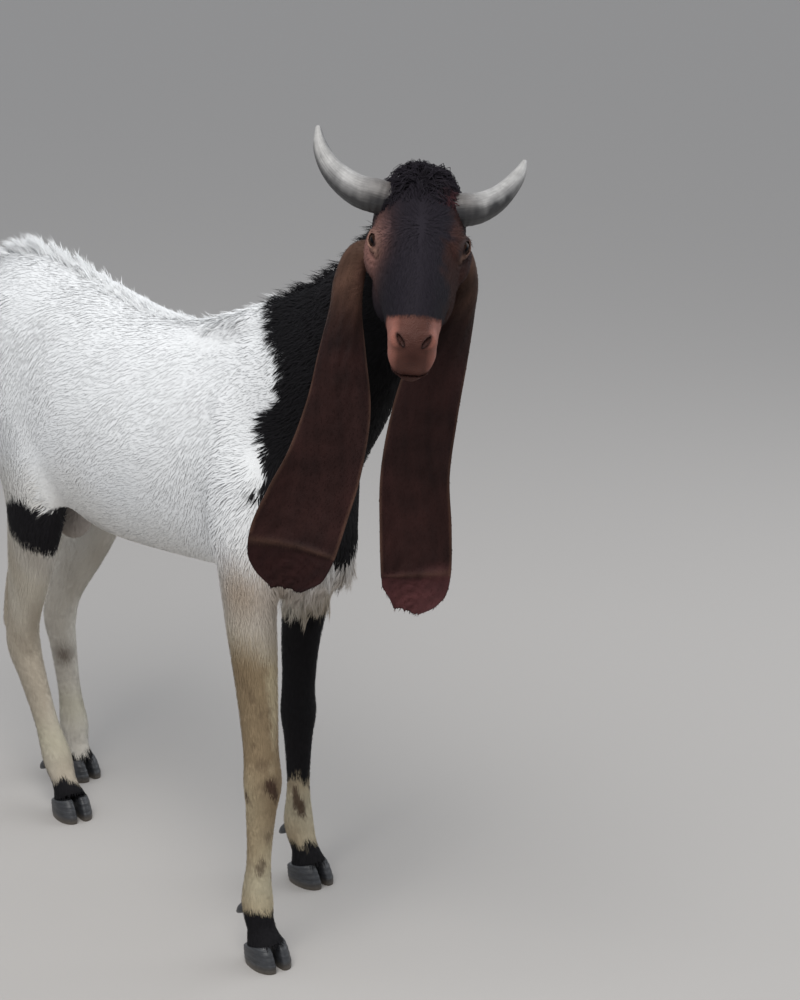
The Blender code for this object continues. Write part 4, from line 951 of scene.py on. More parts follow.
grains = noise(variation, where.outputs["Object"], ways_in.outputs["Scale"], 4.0)
spread = add(variation, "Math", {"operation": "MULTIPLY_ADD"}, i0=grains, i1=2.0, i2=-1.0)
share = add(variation, "Math", {"operation": "MULTIPLY_ADD"}, i0=spread.outputs[0],
            i1=ways_in.outputs["Amount"], i2=1.0)
scaled = add(variation, "VectorMath", {"operation": "SCALE"}, i0=ways_in.outputs["Color"],
             Scale=share.outputs[0])
variation.links.new(scaled.outputs[0], ways_out.inputs["Color"])


def coloured(tree, shader, colour, scale, amount):
    """Give a shader its colour, with fine variation over it."""
    made = tree.nodes.new("ShaderNodeGroup")
    made.node_tree = variation
    tree.links.new(colour, made.inputs["Color"])
    made.inputs["Scale"].default_value = scale
    made.inputs["Amount"].default_value = amount
    tree.links.new(made.outputs["Color"], shader.inputs["Base Color"])


def bumped(tree, shader, height, distance):
    made = add(tree, "Bump", Height=height, Strength=0.5, Distance=distance)
    tree.links.new(made.outputs[0], shader.inputs["Normal"])


def mixed(tree, amount, first, second):
    return add(tree, "Mix", {"data_type": "RGBA"}, i0=amount, i6=first, i7=second).outputs[2]


skin_stuff, tree, shader = new_material("short_coat_on_skin", 0.75)
tint = add(tree, "Attribute", {"attribute_name": "coat"})
coloured(tree, shader, tint.outputs["Color"], 240.0, 0.1)
shader.inputs["Specular IOR Level"].default_value = 0.14
where = add(tree, "TexCoord")
weights = add(tree, "Attribute", {"attribute_name": "grain"})
channels = add(tree, "SeparateColor", Color=weights.outputs["Color"])
amounts = [channels.outputs[name] for name in ("Red", "Green", "Blue")] + [weights.outputs["Alpha"]]
hairs = None
for way_of_hair, amount in zip(GRAINS, amounts):
    turned = Vector(way_of_hair).to_track_quat("X", "Z").to_euler()
    placed = add(tree, "Mapping", {"vector_type": "TEXTURE"}, Vector=where.outputs["Object"],
                 Rotation=turned, Scale=(1 / 110, 1 / 950, 1 / 950))
    lines = noise(tree, placed.outputs[0], 1.0, 2.0)
    part_of = add(tree, "Math", {"operation": "MULTIPLY"}, i0=lines, i1=amount).outputs[0]
    hairs = part_of if hairs is None else add(tree, "Math", i0=hairs, i1=part_of).outputs[0]
pores = add(tree, "TexVoronoi", Vector=where.outputs["Object"], Scale=700.0)
relief = add(tree, "Mix", {"data_type": "FLOAT"}, i0=tint.outputs["Alpha"], i2=hairs,
             i3=pores.outputs["Distance"])
bumped(tree, shader, relief.outputs[0], 0.0012)
damp = add(tree, "MapRange", i0=tint.outputs["Alpha"], i3=0.78, i4=0.52)
tree.links.new(damp.outputs[0], shader.inputs["Roughness"])
skin.data.materials.append(skin_stuff)
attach(skin, "root")
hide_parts("torso", "neck", "head", "tail", "scrotum", "leg_fore_right", "leg_fore_left",
            "leg_hind_right", "leg_hind_left", "ear_right", "ear_left")

# The eyes: wet amber-brown balls with the goat's level slot pupil, set deep in their sockets.
# Each is one glossy form with a slight swelling of the cornea, and sits behind the lids.
EYE_IN = 0.0004
PUPIL_LONG, PUPIL_TALL = 0.0046, 0.0019


def vectors(tree, operation, first, second=(0, 0, 0)):
    return add(tree, "VectorMath", {"operation": operation}, i0=first, i1=second)


def make_eye(name, side):
    middle, outward, along, up = eye_frame(side)
    turn = np.arange(48) * (2 * math.pi / 48)
    circle = np.cos(turn)[:, None] * along + np.sin(turn)[:, None] * up
    rings = []
    for tilt in np.linspace(0.01, math.pi - 0.01, 40):
        bulge = EYE_RADIUS - EYE_IN + 0.0007 * max(0.0, 1 - (tilt / 0.65) ** 2)
        rings.append(middle + bulge * (math.sin(tilt) * circle + math.cos(tilt) * outward))
    corners, faces = loft(np.array(rings))
    made = solid(name + "_ball", to_head(corners) + np.array(SHIFT), faces)
    made.data.shade_smooth()
    stuff, tree, shader = new_material(name + "_wet", 0.16)
    shader.inputs["IOR"].default_value = 1.28
    shader.inputs["Specular IOR Level"].default_value = 0.16
    where = add(tree, "TexCoord").outputs["Object"]
    rel = vectors(tree, "SUBTRACT", where, HEAD @ Vector(middle) + SHIFT).outputs[0]
    axes = [(HEAD.to_3x3() @ Vector(axis)).normalized() for axis in (along, up)]
    dots = [vectors(tree, "DOT_PRODUCT", rel, axis).outputs["Value"] for axis in axes]
    flat = add(tree, "CombineXYZ", X=dots[0], Y=dots[1]).outputs[0]
    reach = vectors(tree, "LENGTH", flat)
    slot = vectors(tree, "MULTIPLY", flat, (1 / PUPIL_LONG, 1 / PUPIL_TALL, 0.0))
    slot = vectors(tree, "LENGTH", slot.outputs[0])
    iris = mixed(tree, noise(tree, where, 900.0, 3.0), (0.009, 0.004, 0.003, 1), (0.026, 0.011, 0.005, 1))
    rim = add(tree, "MapRange", i0=reach.outputs["Value"], i1=0.0072, i2=0.008)
    iris = mixed(tree, rim.outputs[0], iris, (0.01, 0.006, 0.005, 1))
    pupil = add(tree, "MapRange", i0=slot.outputs["Value"], i1=0.9, i2=1.15)
    colour = mixed(tree, pupil.outputs[0], (0.002, 0.002, 0.003, 1), iris)
    tree.links.new(colour, shader.inputs["Base Color"])
    made.data.materials.append(stuff)
    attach(made, "root")
    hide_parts(name)


make_eye("eye_right", -1)
make_eye("eye_left", 1)

# The horns: dull bone-grey sheaths, oval in section, sweeping out and back from the poll. They are pale
# above and dark grey below, partly dirt and partly painted shade, with faint growth rings near the root and
# fine lengthwise grain.
HORNS = {
    "horn_right": (-1, [
        ((0.028, -0.06, 0.028), 0.018), ((0.049, -0.064, 0.03), 0.0192), ((0.07, -0.072, 0.028), 0.0178),
        ((0.091, -0.088, 0.029), 0.0152), ((0.107, -0.108, 0.032), 0.012), ((0.117, -0.13, 0.037), 0.0084),
        ((0.121, -0.152, 0.043), 0.003)]),
    "horn_left": (1, [
        ((0.026, -0.056, 0.023), 0.018), ((0.045, -0.06, 0.024), 0.0192), ((0.062, -0.067, 0.022), 0.0178),
        ((0.08, -0.08, 0.023), 0.0152), ((0.095, -0.098, 0.026), 0.012), ((0.106, -0.118, 0.029), 0.0084),
        ((0.112, -0.137, 0.032), 0.003)]),
}
HORN_FLAT = 0.92


def ramp(tree, factor, stops):
    """Colours that change along a factor, from stop to stop."""
    made = add(tree, "ValToRGB", Fac=factor)
    rows = made.color_ramp.elements
    for place, colour in stops[2:]:
        rows.new(place)
    for row, (place, colour) in zip(rows, stops):
        row.position = place
        row.color = (*colour, 1)
    return made.outputs["Color"]


horn_stuff, tree, shader = new_material("horn_sheath", 0.5)
plan = add(tree, "UVMap", {"uv_map": "along"})
grain = add(tree, "Mapping", Vector=plan.outputs[0], Scale=(60.0, 5.0, 1.0))
lines = noise(tree, grain.outputs[0], 1.0, 5.0)
split = add(tree, "SeparateXYZ", Vector=plan.outputs[0])
tones = ramp(tree, split.outputs["Y"], [
    (0.1, (0.085, 0.072, 0.066)), (0.42, (0.47, 0.46, 0.45)), (0.97, (0.5, 0.49, 0.475))])
# The dark grey below, partly dirt and partly painted shade, comes in as the alpha of the coat attribute.
under = add(tree, "Attribute", {"attribute_name": "coat"})
dirt_and_shade_below = mixed(tree, under.outputs["Alpha"], tones, (0.04, 0.039, 0.041, 1))
grained = add(tree, "Mix", {"data_type": "RGBA", "blend_type": "MULTIPLY"}, i0=0.62,
              i6=dirt_and_shade_below, i7=lines)
coloured(tree, shader, grained.outputs[2], 150.0, 0.35)
bumped(tree, shader, lines, 0.0012)

HORN_ROWS, HORN_SIDES = 150, 48
for name, (side, bends) in HORNS.items():
    path = [((x * side, y, z), r, r * HORN_FLAT) for (x, y, z), r in bends]
    rings = pipe(path, HORN_ROWS, HORN_SIDES, (0, 0, 1))
    rings = to_head(rings.reshape(-1, 3)).reshape(HORN_ROWS, HORN_SIDES, 3)
    middles = rings.mean(axis=1, keepdims=True)
    s = np.linspace(0, 1, HORN_ROWS)[:, None, None]
    growth = 0.008 * np.sin(s * 118 + 3 * np.sin(s * 9)) * np.clip(1.05 - s * 1.5, 0.05, 1)
    turn = (np.arange(HORN_SIDES) * 2 * math.pi / HORN_SIDES)[None, :, None]
    keel = 0.035 * np.cos(turn * 2 + 0.6) + 0.012 * np.sin(turn * 9 + s * 5)
    corners, faces = loft(middles + (rings - middles) * (0.955 + growth + keel * 0.6) * HEAD_SIZE)
    horn = solid(name + "_sheath", corners + np.array(SHIFT), faces)
    share_round = np.tile(np.linspace(0, 1, HORN_SIDES, endpoint=False), HORN_ROWS)
    uvs = np.column_stack([share_round, np.repeat(np.linspace(0, 1, HORN_ROWS), HORN_SIDES)])
    layer = horn.data.uv_layers.new(name="along")
    order = np.zeros(len(horn.data.loops), dtype=np.int32)
    horn.data.loops.foreach_get("vertex_index", order)
    layer.data.foreach_set("uv", uvs[order].ravel())
    flat = np.zeros(len(horn.data.vertices) * 3)
    horn.data.vertices.foreach_get("normal", flat)
    # Faces turned down and outward are darkened: partly dirt, partly painted shade.
    facing = flat.reshape(-1, 3) @ unit(np.array((-0.45 * side, -0.1, -1.0)))
    streaky = 0.55 * ripple(corners, 62, 41) + 0.22 * ripple(corners * np.array((1, 1, 0.35)), 300, 42)
    low = np.clip(facing * 1.5 + (0.98 if side < 0 else 0.62) + streaky * 0.7, 0, 1)
    tint = horn.data.color_attributes.new("coat", "FLOAT_COLOR", "POINT")
    tint.data.foreach_set("color", np.column_stack([np.ones((len(corners), 3)), low]).ravel())
    horn.data.shade_smooth()
    horn.data.materials.append(horn_stuff)
    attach(horn, "root")
    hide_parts(name)

# The hooves: two claws of blue-grey horn on each foot, flat where they meet in the cleft, ringed
# with growth lines and worn pale at the edge, and two small dewclaws behind each fetlock.
HOOVES = {
    "fore_right": ((-0.1, -0.376), math.radians(4)), "fore_left": ((0.099, -0.208), math.radians(-4)),
    "hind_right": ((-0.054, 0.208), math.radians(6)), "hind_left": ((0.04, 0.336), math.radians(-6)),
}
CLAW_LONG, CLAW_WIDE, CLAW_SPLIT = 0.062, 0.0265, 0.003
CORONET, CORONET_SLOPE = 0.03, math.radians(12)
DEWCLAW_LONG, DEWCLAW_RADIUS = 0.02, 0.007
CLAW_LEVELS = [
    # share of the height, of the length, of the width, and how far back
    (0.0, 0.9, 0.86, 0.0), (0.0, 0.945, 0.925, 0.0), (0.05, 0.96, 0.94, 0.0),
    (0.25, 0.985, 0.98, 0.001), (0.5, 0.94, 0.96, 0.0035), (0.75, 0.88, 0.93, 0.006),
    (0.97, 0.8, 0.88, 0.0088), (1.06, 0.72, 0.8, 0.009),
]

hoof_stuff, tree, shader = new_material("hoof_horn", 0.42)
where = add(tree, "TexCoord").outputs["Object"]
layers = add(tree, "Mapping", Vector=where, Scale=(60.0, 60.0, 520.0))
lines = noise(tree, layers.outputs[0], 1.0, 3.0)
tones = ramp(tree, lines, [(0.3, (0.018, 0.019, 0.022)), (0.75, (0.04, 0.042, 0.046))])
split = add(tree, "SeparateXYZ", Vector=where)
low = add(tree, "MapRange", i0=split.outputs["Z"], i1=0.012, i2=0.0)
coloured(tree, shader, mixed(tree, low.outputs[0], tones, (0.085, 0.07, 0.055, 1)), 180.0, 0.35)
bumped(tree, shader, lines, 0.001)


def finish_horn(name, rings, node):
    corners, faces = loft(rings)
    made = solid(name, corners + np.array(SHIFT), faces)
    made.data.shade_smooth()
    made.data.set_sharp_from_angle(angle=math.radians(50))
    made.data.materials.append(hoof_stuff)
    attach(made, "root")
    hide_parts(node)


def claw_rings(centre, turn, side):
    forward = np.array((-math.sin(turn), -math.cos(turn), 0.0))
    left = np.array((math.cos(turn), -math.sin(turn), 0.0))
    middle = np.array((centre[0], centre[1], 0.0)) + left * side * (CLAW_WIDE + CLAW_SPLIT) / 2
    ahead, out = oval(40, 2.4)
    out = out * np.where(out * side > 0, 1.0, 0.82)
    toe = np.maximum(ahead, 0) ** 2 * 0.0045
    rings = []
    for level, long, wide, back in CLAW_LEVELS:
        ring = middle + forward * (ahead * long * CLAW_LONG / 2 - back)[:, None]
        ring = ring + left * (out * wide * CLAW_WIDE / 2 - side * toe)[:, None]
        rise = CORONET + math.tan(CORONET_SLOPE) * ((ring - middle) @ forward)
        ring[:, 2] = level * (rise - 0.0003)
        rings.append(ring)
    rows = np.array(rings)
    fine = through(rows.reshape(len(rows), -1), 43).reshape(43, 40, 3)
    fine[..., 2] = np.maximum(fine[..., 2], 0.0)
    mid = fine.mean(axis=1, keepdims=True)
    s = np.linspace(0, 1, 43)[:, None, None]
    grow = 1 + 0.01 * np.sin(s * 46) * np.clip((s - 0.1) * 5, 0, 1)
    fine[..., :2] = (mid + (fine - mid) * grow)[..., :2]
    return fine


for foot, (centre, turn) in HOOVES.items():
    fetlock = np.array(LEGS["leg_" + foot][0][8])
    outer = 1 if "left" in foot else -1
    for name, side in (("outer", outer), ("inner", -outer)):
        finish_horn(f"hoof_{foot}_{name}", claw_rings(centre, turn, side), f"claw_{foot}_{name}")
        root = fetlock + np.array((0.0115 * side, 0.007, -0.0045))
        tip = np.array((0.014 * side, 0.009 + DEWCLAW_LONG * 0.85, -0.006 - DEWCLAW_LONG * 0.8)) + fetlock
        waist = root + (tip - root) * 0.6
        bends = [(place, DEWCLAW_RADIUS * wide, DEWCLAW_RADIUS * deep) for place, wide, deep in (
            (root, 1.0, 0.95), (waist, 0.97, 0.9), (tip, 0.45, 0.42))]
        finish_horn(f"spur_{foot}_{name}", pipe(bends, 24, 24), f"dewclaw_{foot}_{name}")

# The coat: solid tapered tufts over the skin, each bent over along the lie, drawn together in small
# locks, longest on neck and flanks and shortest on face, ears and feet. Roots are sunk in the skin.
TUFTS = {
    # density per square metre, length, half width, height over the skin, how much tips gather
    "trunk": (64000, 0.021, 0.0012, 0.0006, 0.0), "neck": (85000, 0.02, 0.0007, 0.0034, 0.35),
    "head": (170000, 0.0055, 0.00036, 0.0007, 0.1), "leg": (120000, 0.009, 0.0005, 0.0009, 0.1),
    "tail": (110000, 0.033, 0.00085, 0.006, 0.3), "scrotum": (50000, 0.006, 0.00045, 0.0008, 0.15),
    "ear": (50000, 0.005, 0.00036, 0.0005, 0.05),
}
COAT_SINK = 0.0012
PATCH = 0.0015
density_share = 1.0


def kind_of(name):
    return name[:3] if name[:3] in ("leg", "ear") else name


def strands(name, paths, ups, half, shades, plan, apex=0.45, soft=0.75):
    """Three-sided tapered strands along paths, as one mesh: rings, a point at each tip, a closed root."""
    count, stations = paths.shape[:2]
    ahead = unit(np.gradient(paths, axis=1))
    side = unit(np.cross(ahead, ups[:, None]))
    high = np.cross(side, ahead)
    rings, leans = [], []
    for i in range(stations - 1):
        w = half[:, i:i + 1]
        middle, across = paths[:, i], side[:, i] * w
        rings += [middle + across, middle + high[:, i] * w * apex, middle - across]
        leans += [side[:, i], high[:, i], -side[:, i]]
    rings.append(paths[:, -1])
    leans.append(high[:, -1])
    corners = np.stack(rings, axis=1)
    leans = unit(np.stack(leans, axis=1) * (1 - soft) + ups[:, None] * soft)
    faces = [(0, 1, 2)]
    for i in range(stations - 2):
        for j in range(3):
            a, b = 3 * i + j, 3 * i + (j + 1) % 3
            faces += [(a, a + 3, b), (b, a + 3, b + 3)]
    last = 3 * (stations - 2)
    faces += [(last + j, last + 3, last + (j + 1) % 3) for j in range(3)]
    each = corners.shape[1]
    triangles = (np.array(faces)[None] + (np.arange(count) * each)[:, None, None]).reshape(-1, 3)
    ring_of = np.append(np.repeat(np.arange(stations - 1), 3), stations - 1)
    tints = shades[:, ring_of]
    tints = np.concatenate([tints, np.ones((count, each, 1))], axis=-1)
    across = np.append(np.tile([1.0, 0.0, -1.0], stations - 1), 0.0)
    uvs = plan[:, None] + np.stack([across, ring_of / (stations - 1) * 2 - 1], axis=-1)[None] * PATCH
    return quick_mesh(name, corners.reshape(-1, 3), triangles, tints.reshape(-1, 4),
                      np.clip(uvs, 0.0, 1.0).reshape(-1, 2), leans.reshape(-1, 3))


def plan_of(part, along, turn):
    """Place on a flat plan of the skin: one tile for each part, turn across and length up."""
    tile = np.stack([part % 4, part // 4], axis=-1) * 0.25
    return tile + 0.005 + np.stack([turn, along], axis=-1) * 0.24


coat_stuff, tree, shader = new_material("coat_hair", 0.7)
tint = add(tree, "Attribute", {"attribute_name": "coat"})
coloured(tree, shader, tint.outputs["Color"], 420.0, 0.08)
shader.inputs["Specular IOR Level"].default_value = 0.12


def finish_coat(made):
    made.data.materials.append(coat_stuff)
    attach(made, "root")


draw = np.random.default_rng(77)
a, b, c = points[tris[:, 0]], points[tris[:, 1]], points[tris[:, 2]]
area = np.linalg.norm(np.cross(b - a, c - a), axis=1) / 2
tri_part = parts[tris[:, 0]]
densities, lengths, halves, heights, gathers = np.array([TUFTS[kind_of(name)] for name in PARTS]).T.copy()
tri_density = shares[tris].mean(axis=1) @ densities * density_share
hairless = bare[tris].mean(axis=1) > 0.9
for side in (-1, 1):
    from_eye = from_head((a + b + c) / 3) - np.array((0.05 * side, 0.003, 0.029))
    hairless |= np.linalg.norm(from_eye, axis=1) < 0.0125
hairless = hairless & is_part(tri_part, "head") | (a[:, 2] < 0.022) & is_part(tri_part, *LEGS)
tri_density = np.where(hairless, 0, tri_density)
expected = area * tri_density
total = int(expected.sum())
even = (np.arange(total) + draw.uniform(0, 1, total)) / total * expected.sum()
chosen = np.searchsorted(np.cumsum(expected), even)
chosen = np.minimum(chosen, len(tris) - 1)
u, v = draw.uniform(0, 1, (2, total))
flip = u + v > 1
u, v = np.where(flip, 1 - u, u), np.where(flip, 1 - v, v)
weights = np.stack([1 - u - v, u, v], axis=-1)[..., None]
corner = tris[chosen]
roots = (points[corner] * weights).sum(1)
root_normals = unit((normals[corner] * weights).sum(1))
root_lies = unit((lies[corner] * weights).sum(1))
root_part = parts[corner[:, 0]]
root_shares = (shares[corner] * weights).sum(1)
root_along = (alongs[corner] * weights[..., 0]).sum(1)
root_turn = turns[corner[:, 0]]
root_colours, root_bare = markings(roots, root_part, ear_along[corner[:, 0]], ear_across[corner[:, 0]])
root_white = root_colours.max(axis=1) > 0.4
moved = root_shares[:, 1] * root_white * 0.85
root_shares[:, 0] += moved
root_shares[:, 1] -= moved
long = root_shares @ lengths * draw.uniform(0.7, 1.25, total)
half = root_shares @ halves * draw.uniform(0.75, 1.25, total)
high = root_shares @ heights * draw.uniform(0.6, 1.25, total)
gather = root_shares @ gathers
upper_leg = 1 + root_shares[:, LEG_SHARES].sum(1) * np.interp(roots[:, 2], [0.28, 0.5], [0.0, 0.8])
is_leg = is_part(root_part, *LEGS)
is_head = is_part(root_part, "head")
long *= upper_leg
high *= upper_leg
pastern = is_leg & (roots[:, 2] < 0.07)
long = np.where(pastern, long * 1.35, long)
long = np.where(is_head, long * (1 - 0.6 * root_bare), long)
brow = near(from_head(roots), (0.0, -0.028, 0.055), (0.045, 0.045, 0.035)) * is_head
long *= 1 + 1.5 * brow
high *= 1 + 2.2 * brow
side = np.cross(root_normals, root_lies)
sway = draw.normal(0, 0.16, total)[:, None]
way = unit(root_lies + side * sway)
mid = roots + way * (long * 0.45)[:, None] + root_normals * high[:, None]
tip = roots + way * long[:, None] + root_normals * (high * draw.uniform(0.55, 1.15, total))[:, None]


def clump_of(roots, part):
    """A number for each root's small patch of skin, whose hair leans together."""
    warp = np.stack([ripple(roots, 160, seed) for seed in (51, 52, 53)], axis=-1) * 0.004
    size = np.where(is_part(part, "trunk", "neck", "tail"), 0.013, 0.008)[:, None]
    cell = np.floor((roots + warp) / size).astype(np.int64)
    key = (cell[:, 0] * 73856093) ^ (cell[:, 1] * 19349663) ^ (cell[:, 2] * 83492791)
    return np.unique(key ^ (part.astype(np.int64) << 40), return_inverse=True)[1]


clump = clump_of(roots, root_part)
members = np.bincount(clump)
middle_tip = np.stack([np.bincount(clump, weights=tip[:, i]) / members for i in range(3)], axis=-1)[clump]
lift = 1 + 0.35 * ripple(middle_tip, 300, 54)
pull = (gather * draw.uniform(0.5, 1.3, total))[:, None]
tip = tip + (middle_tip + root_normals * (high * (lift - 1) * 0.6)[:, None] - tip) * pull
mid = mid + (middle_tip - way * (long * 0.5)[:, None] - mid) * pull * 0.25
tone = (1 + 0.022 * draw.normal(0, 1, total) + 0.02 * ripple(roots, 40, 55))[:, None]
dark = root_colours.max(axis=1, keepdims=True) < 0.2
tone = np.where(dark, 1 + (tone - 1) * 6.0, tone)
# Each tuft is a little darker at its root: painted shade among the roots.
shades = np.clip(np.stack([root_colours * tone * k for k in (0.98, 1.0, 1.01)], axis=1), 0.003, 0.93)
paths = np.stack([roots - root_normals * COAT_SINK, mid, tip], axis=1)
widths = np.stack([half, half * 0.9], axis=1)
plans = plan_of(root_part, root_along, root_turn)
LIMIT = 18500
for name, members, slot in (
        ("coat_trunk", ("trunk",), "white_coat"), ("coat_neck", ("neck",), "black_coat"),
        ("coat_face", ("head",), "black_coat"), ("coat_forelegs", list(LEGS)[:2], "white_coat"),
        ("coat_hindlegs", list(LEGS)[2:], "white_coat"), ("coat_tail", ("tail", "scrotum"), "white_coat"),
        ("coat_ears", ("ear_right", "ear_left"), "ear")):
    rows = np.nonzero(is_part(root_part, *members))[0]
    rows = rows[np.argsort(roots[rows, 1])]
    for number, part_rows in enumerate(np.array_split(rows, max(1, math.ceil(len(rows) / LIMIT)))):
        smooth = (root_white | is_leg)[part_rows, None]
        made = strands(f"{name}_{number + 1}", paths[part_rows], root_normals[part_rows], widths[part_rows],
                       shades[part_rows], plans[part_rows], np.where(smooth, 0.18, 0.45),
                       np.where(smooth, 0.94, 0.75)[..., None])
        finish_coat(made)

# Longer hair, in locks of fine strands that meet at their tips: the uneven fringe that stands up
# and back along the spine and crest, the brisket's hanging locks, and the curly cap on the poll.
LOCKS = 430
LOCK_STRANDS = 13
LOCK_HALF = 0.00052


def lock_paths(roots, ways, then, long, spread, gather, stations):
    """Strands of locks: each starts beside its lock's root, bends over, and draws in to its tip."""
    count = len(roots)
    offset = draw.normal(0, 1, (count, LOCK_STRANDS, 3)) * spread
    steps = np.linspace(0, 1, stations)
    own = long[:, None] * draw.uniform(0.72, 1.08, (count, LOCK_STRANDS))
    stray = draw.normal(0, 0.1, (count, LOCK_STRANDS, 3))
    made = []
    for share in steps:
        bend = unit(ways * (1 - share) + then * share)[:, None] + stray * share
        step_in = own[..., None] * share * (0.5 * unit(ways[:, None] + stray * share) + 0.5 * bend)
        made.append(roots[:, None] + offset * (1 - gather * share) + step_in)
    return np.stack(made, axis=2).reshape(count * LOCK_STRANDS, stations, 3)


def finish_locks(name, path, ups, tints, tones, size, thins, plan, apex, soft):
    """Locks as one piece of the coat. Tones and thickness change from root to tip; the darker roots are
    painted shade.
    """
    shades = np.clip(np.stack([tints * k for k in tones], axis=1), 0.003, 0.95)
    made = strands(name, path, ups, np.stack([size * k for k in thins], axis=1), shades, plan, apex, soft)
    finish_coat(made)


crest = []
for i in range(6, 3, -1):
    middle, _, deep = NECK[i]
    ahead = (Vector(NECK[i][0]) - Vector(NECK[i - 1][0])).normalized()
    crest.append(Vector(middle) + ahead.cross(Vector((1, 0, 0))) * deep)
crest += [Vector(middle) + Vector((0, 0.3, 0.95)) * deep for middle, _, deep in WITHERS[5:0:-1]]
crest += [Vector((0, row[0], row[1])) for row in TRUNK[5:12]]
line = through([tuple(point) for point in crest], 500)
back = unit(np.gradient(line, axis=0))
up = np.cross(np.tile((1.0, 0, 0), (500, 1)), back)
up = up * np.sign(up[:, 2:3])
pick = (draw.uniform(0, 1, LOCKS) * 499).astype(int)
offset = draw.normal(0, 0.0075, LOCKS)
on_neck = line[pick, 1] < -0.26
drop = 0.0075 + offset ** 2 * 30 + draw.uniform(0, 0.003, LOCKS)
root = line[pick] + np.column_stack([offset, np.zeros((LOCKS, 2))]) - up[pick] * drop[:, None]
lean = np.column_stack([offset * 22, np.zeros((LOCKS, 2))])
smooth = np.interp(line[pick, 1], [-0.33, -0.27, -0.1, -0.03], [1.0, 0.3, 0.3, 1.0])
raise_up = (draw.uniform(0.38, 0.9, LOCKS) * smooth)[:, None]
ways = unit(up[pick] * raise_up + back[pick] * 0.55 + lean)
then = unit(up[pick] * raise_up * 0.35 + back[pick] * 1.0 + lean * 1.1)
shorter = 1 - 12 * np.minimum(abs(offset), 0.03)
long = draw.uniform(0.021, 0.041, LOCKS) * np.where(on_neck, 1.15, 1.0) * shorter
rump = np.clip((line[pick, 1] - 0.1) / 0.15, 0, 1)
long = long * (1 + 0.25 * rump * draw.uniform(0, 1, LOCKS))
path = lock_paths(root, ways, then, long, 0.0026, 0.78, 4)
_, hair_part, hair_along, hair_turn, _ = tie(path[:, 0])
hair_part = np.where(is_part(hair_part, "head"), PARTS.index("neck"), hair_part)
blank = np.zeros(len(path))
tints, _ = markings(path[:, 0], hair_part, blank, blank)
tints = tints * draw.uniform(0.9, 1.06, len(path))[:, None]
size = LOCK_HALF * draw.uniform(0.75, 1.3, len(path))
ups = unit(np.cross(back[pick], np.tile((1.0, 0, 0), (LOCKS, 1))) * -1 + lean)
finish_locks("coat_fringe", path, np.repeat(ups, LOCK_STRANDS, axis=0), tints, (1.0, 1.05, 1.08, 1.1), size,
             (1, 0.95, 0.7), plan_of(hair_part, hair_along, hair_turn), 0.8, 0.12)

BRISKET_LOCKS = 130
height = roots[:, 2]
under = (roots[:, 1] < -0.27) & (height < 0.565) & (height > 0.47) & is_part(root_part, "trunk")
inner_leg = is_part(root_part, "leg_fore_left") & (root_normals[:, 0] < 0.5)
under |= inner_leg & (height > 0.425) & (height < 0.52)
spots = draw.choice(np.nonzero(under)[0], BRISKET_LOCKS, replace=False)
sway = np.column_stack([draw.normal(0, 0.15, (BRISKET_LOCKS, 2)), np.full(BRISKET_LOCKS, -0.9)])
hang = unit(root_lies[spots] + sway)
long = draw.uniform(0.02, 0.038, BRISKET_LOCKS)
path = lock_paths(roots[spots] - root_normals[spots] * COAT_SINK, unit(hang + root_normals[spots] * 0.3),
                  unit(hang + np.array((0, 0, -0.5))), long, 0.0028, 0.75, 4)
each = np.repeat(spots, LOCK_STRANDS)
tints = root_colours[each] * draw.uniform(0.94, 1.05, len(path))[:, None]
size = LOCK_HALF * draw.uniform(0.75, 1.3, len(path))
finish_locks("coat_brisket", path, root_normals[each], tints, (0.97, 1.0, 1.02, 1.03), size, (1, 0.95, 0.7),
             plans[each], 0.6, 0.65)

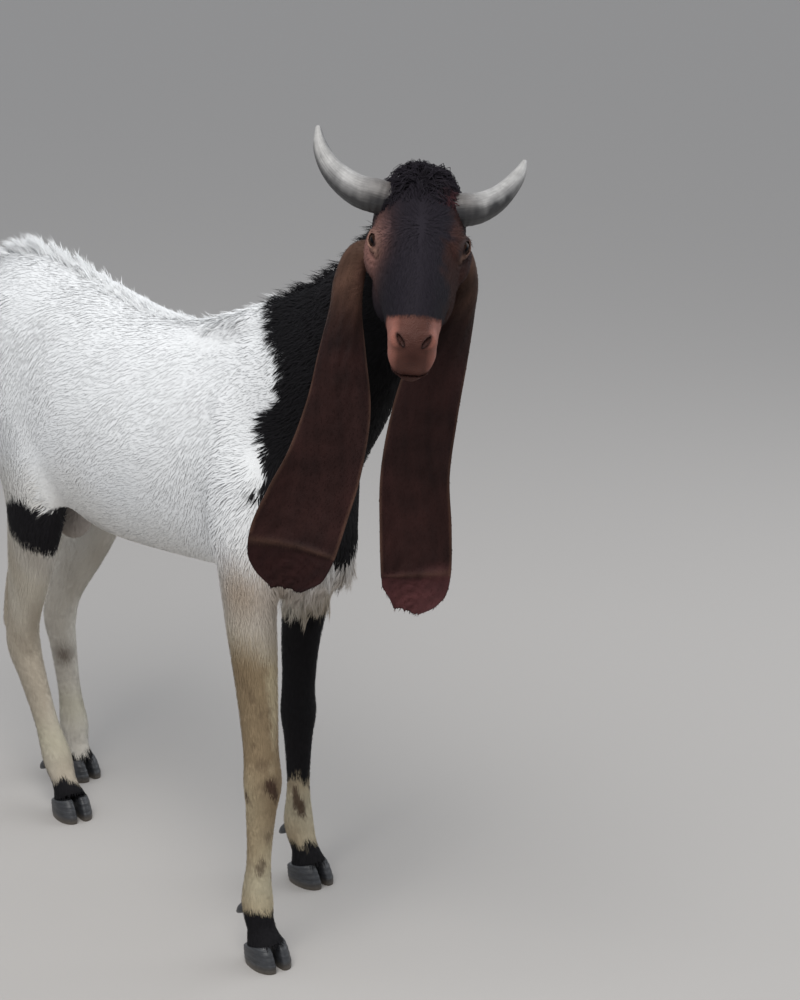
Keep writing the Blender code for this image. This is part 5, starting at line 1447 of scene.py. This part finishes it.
POLL_LOCKS = 340
CURL = 0.0034
spoke = unit(draw.normal(size=(POLL_LOCKS * 4, 3)) + np.array((0.0, 0.2, 0.55)))
spoke = spoke[spoke[:, 2] > -0.15][:POLL_LOCKS]
count = len(spoke)
POLL_MIDDLE, POLL_CORE = np.array((-0.001, -0.066, 0.022)), np.array((0.035, 0.042, 0.028))
POLL_RISE = (-0.0005, 0.0052, 0.0088, 0.0104, 0.01, 0.008, 0.005)
root = POLL_MIDDLE + spoke * POLL_CORE * 0.97
out = unit(spoke / POLL_CORE)
forward = np.clip(spoke[:, 1] + 0.45, -0.3, 1.2)
notch = np.sign(spoke[:, 0] - 0.004) * 0.1 * np.exp(-(spoke[:, 0] / 0.25) ** 2)
way = np.column_stack([spoke[:, 0] + notch, forward, np.full(count, -0.45)])
way = way + draw.normal(0, 0.28, (count, 3))
way = unit(way - out * (way * out).sum(1, keepdims=True))
side = np.cross(out, way)
long = draw.uniform(0.022, 0.036, count) * (1 + 0.25 * np.clip(spoke[:, 1], 0, 1))
phase = draw.uniform(0, 2 * math.pi, count)[:, None]
turns_of_curl = draw.uniform(1.1, 2.0, count)[:, None]
loose = draw.normal(0, 1, (count, LOCK_STRANDS, 3)) * 0.0026
own = draw.uniform(0.75, 1.08, (count, LOCK_STRANDS, 1))
late = draw.normal(0, 0.35, (count, LOCK_STRANDS, 1))
bands = []
for share, rise in zip(np.linspace(0, 1, 7), POLL_RISE):
    angle = phase[:, None] + turns_of_curl[:, None] * 2 * math.pi * share + late * share
    swing = CURL * math.sqrt(share)
    swirl = side[:, None] * np.cos(angle) * swing + out[:, None] * np.sin(angle) * swing * 0.8
    reach = way[:, None] * (long[:, None, None] * share * own)
    sink = out[:, None] * (rise - long[:, None, None] * own * share ** 2 * 0.36)
    bands.append(root[:, None] + loose * (1 - 0.7 * share) + reach + sink + swirl)
path = np.stack(bands, axis=2).reshape(-1, 3)
path = to_head(path).reshape(count * LOCK_STRANDS, 7, 3)
own_lock = np.repeat(np.arange(count), LOCK_STRANDS)
tints = FACE_BLACK * draw.uniform(0.55, 1.25, len(path))[:, None]
rusty = near(spoke, (0.62, 0.25, 0.7), (0.22, 0.3, 0.3))[own_lock]
tints = blend(tints, np.array((0.1, 0.03, 0.032)), 0.7 * rusty)
size = LOCK_HALF * 0.9 * draw.uniform(0.75, 1.25, len(path))
_, hair_part, hair_along, hair_turn, _ = tie(path[:, 0])
ups = unit(out @ np.array(HEAD.to_3x3()).T)[own_lock]
finish_locks("coat_poll", path, ups, tints, (0.6, 0.8, 0.95, 1.0, 1.1, 1.2, 1.3), size,
             (1, 1, 1, 1, 0.9, 0.7), plan_of(hair_part, hair_along, hair_turn), 0.8, 0.25)
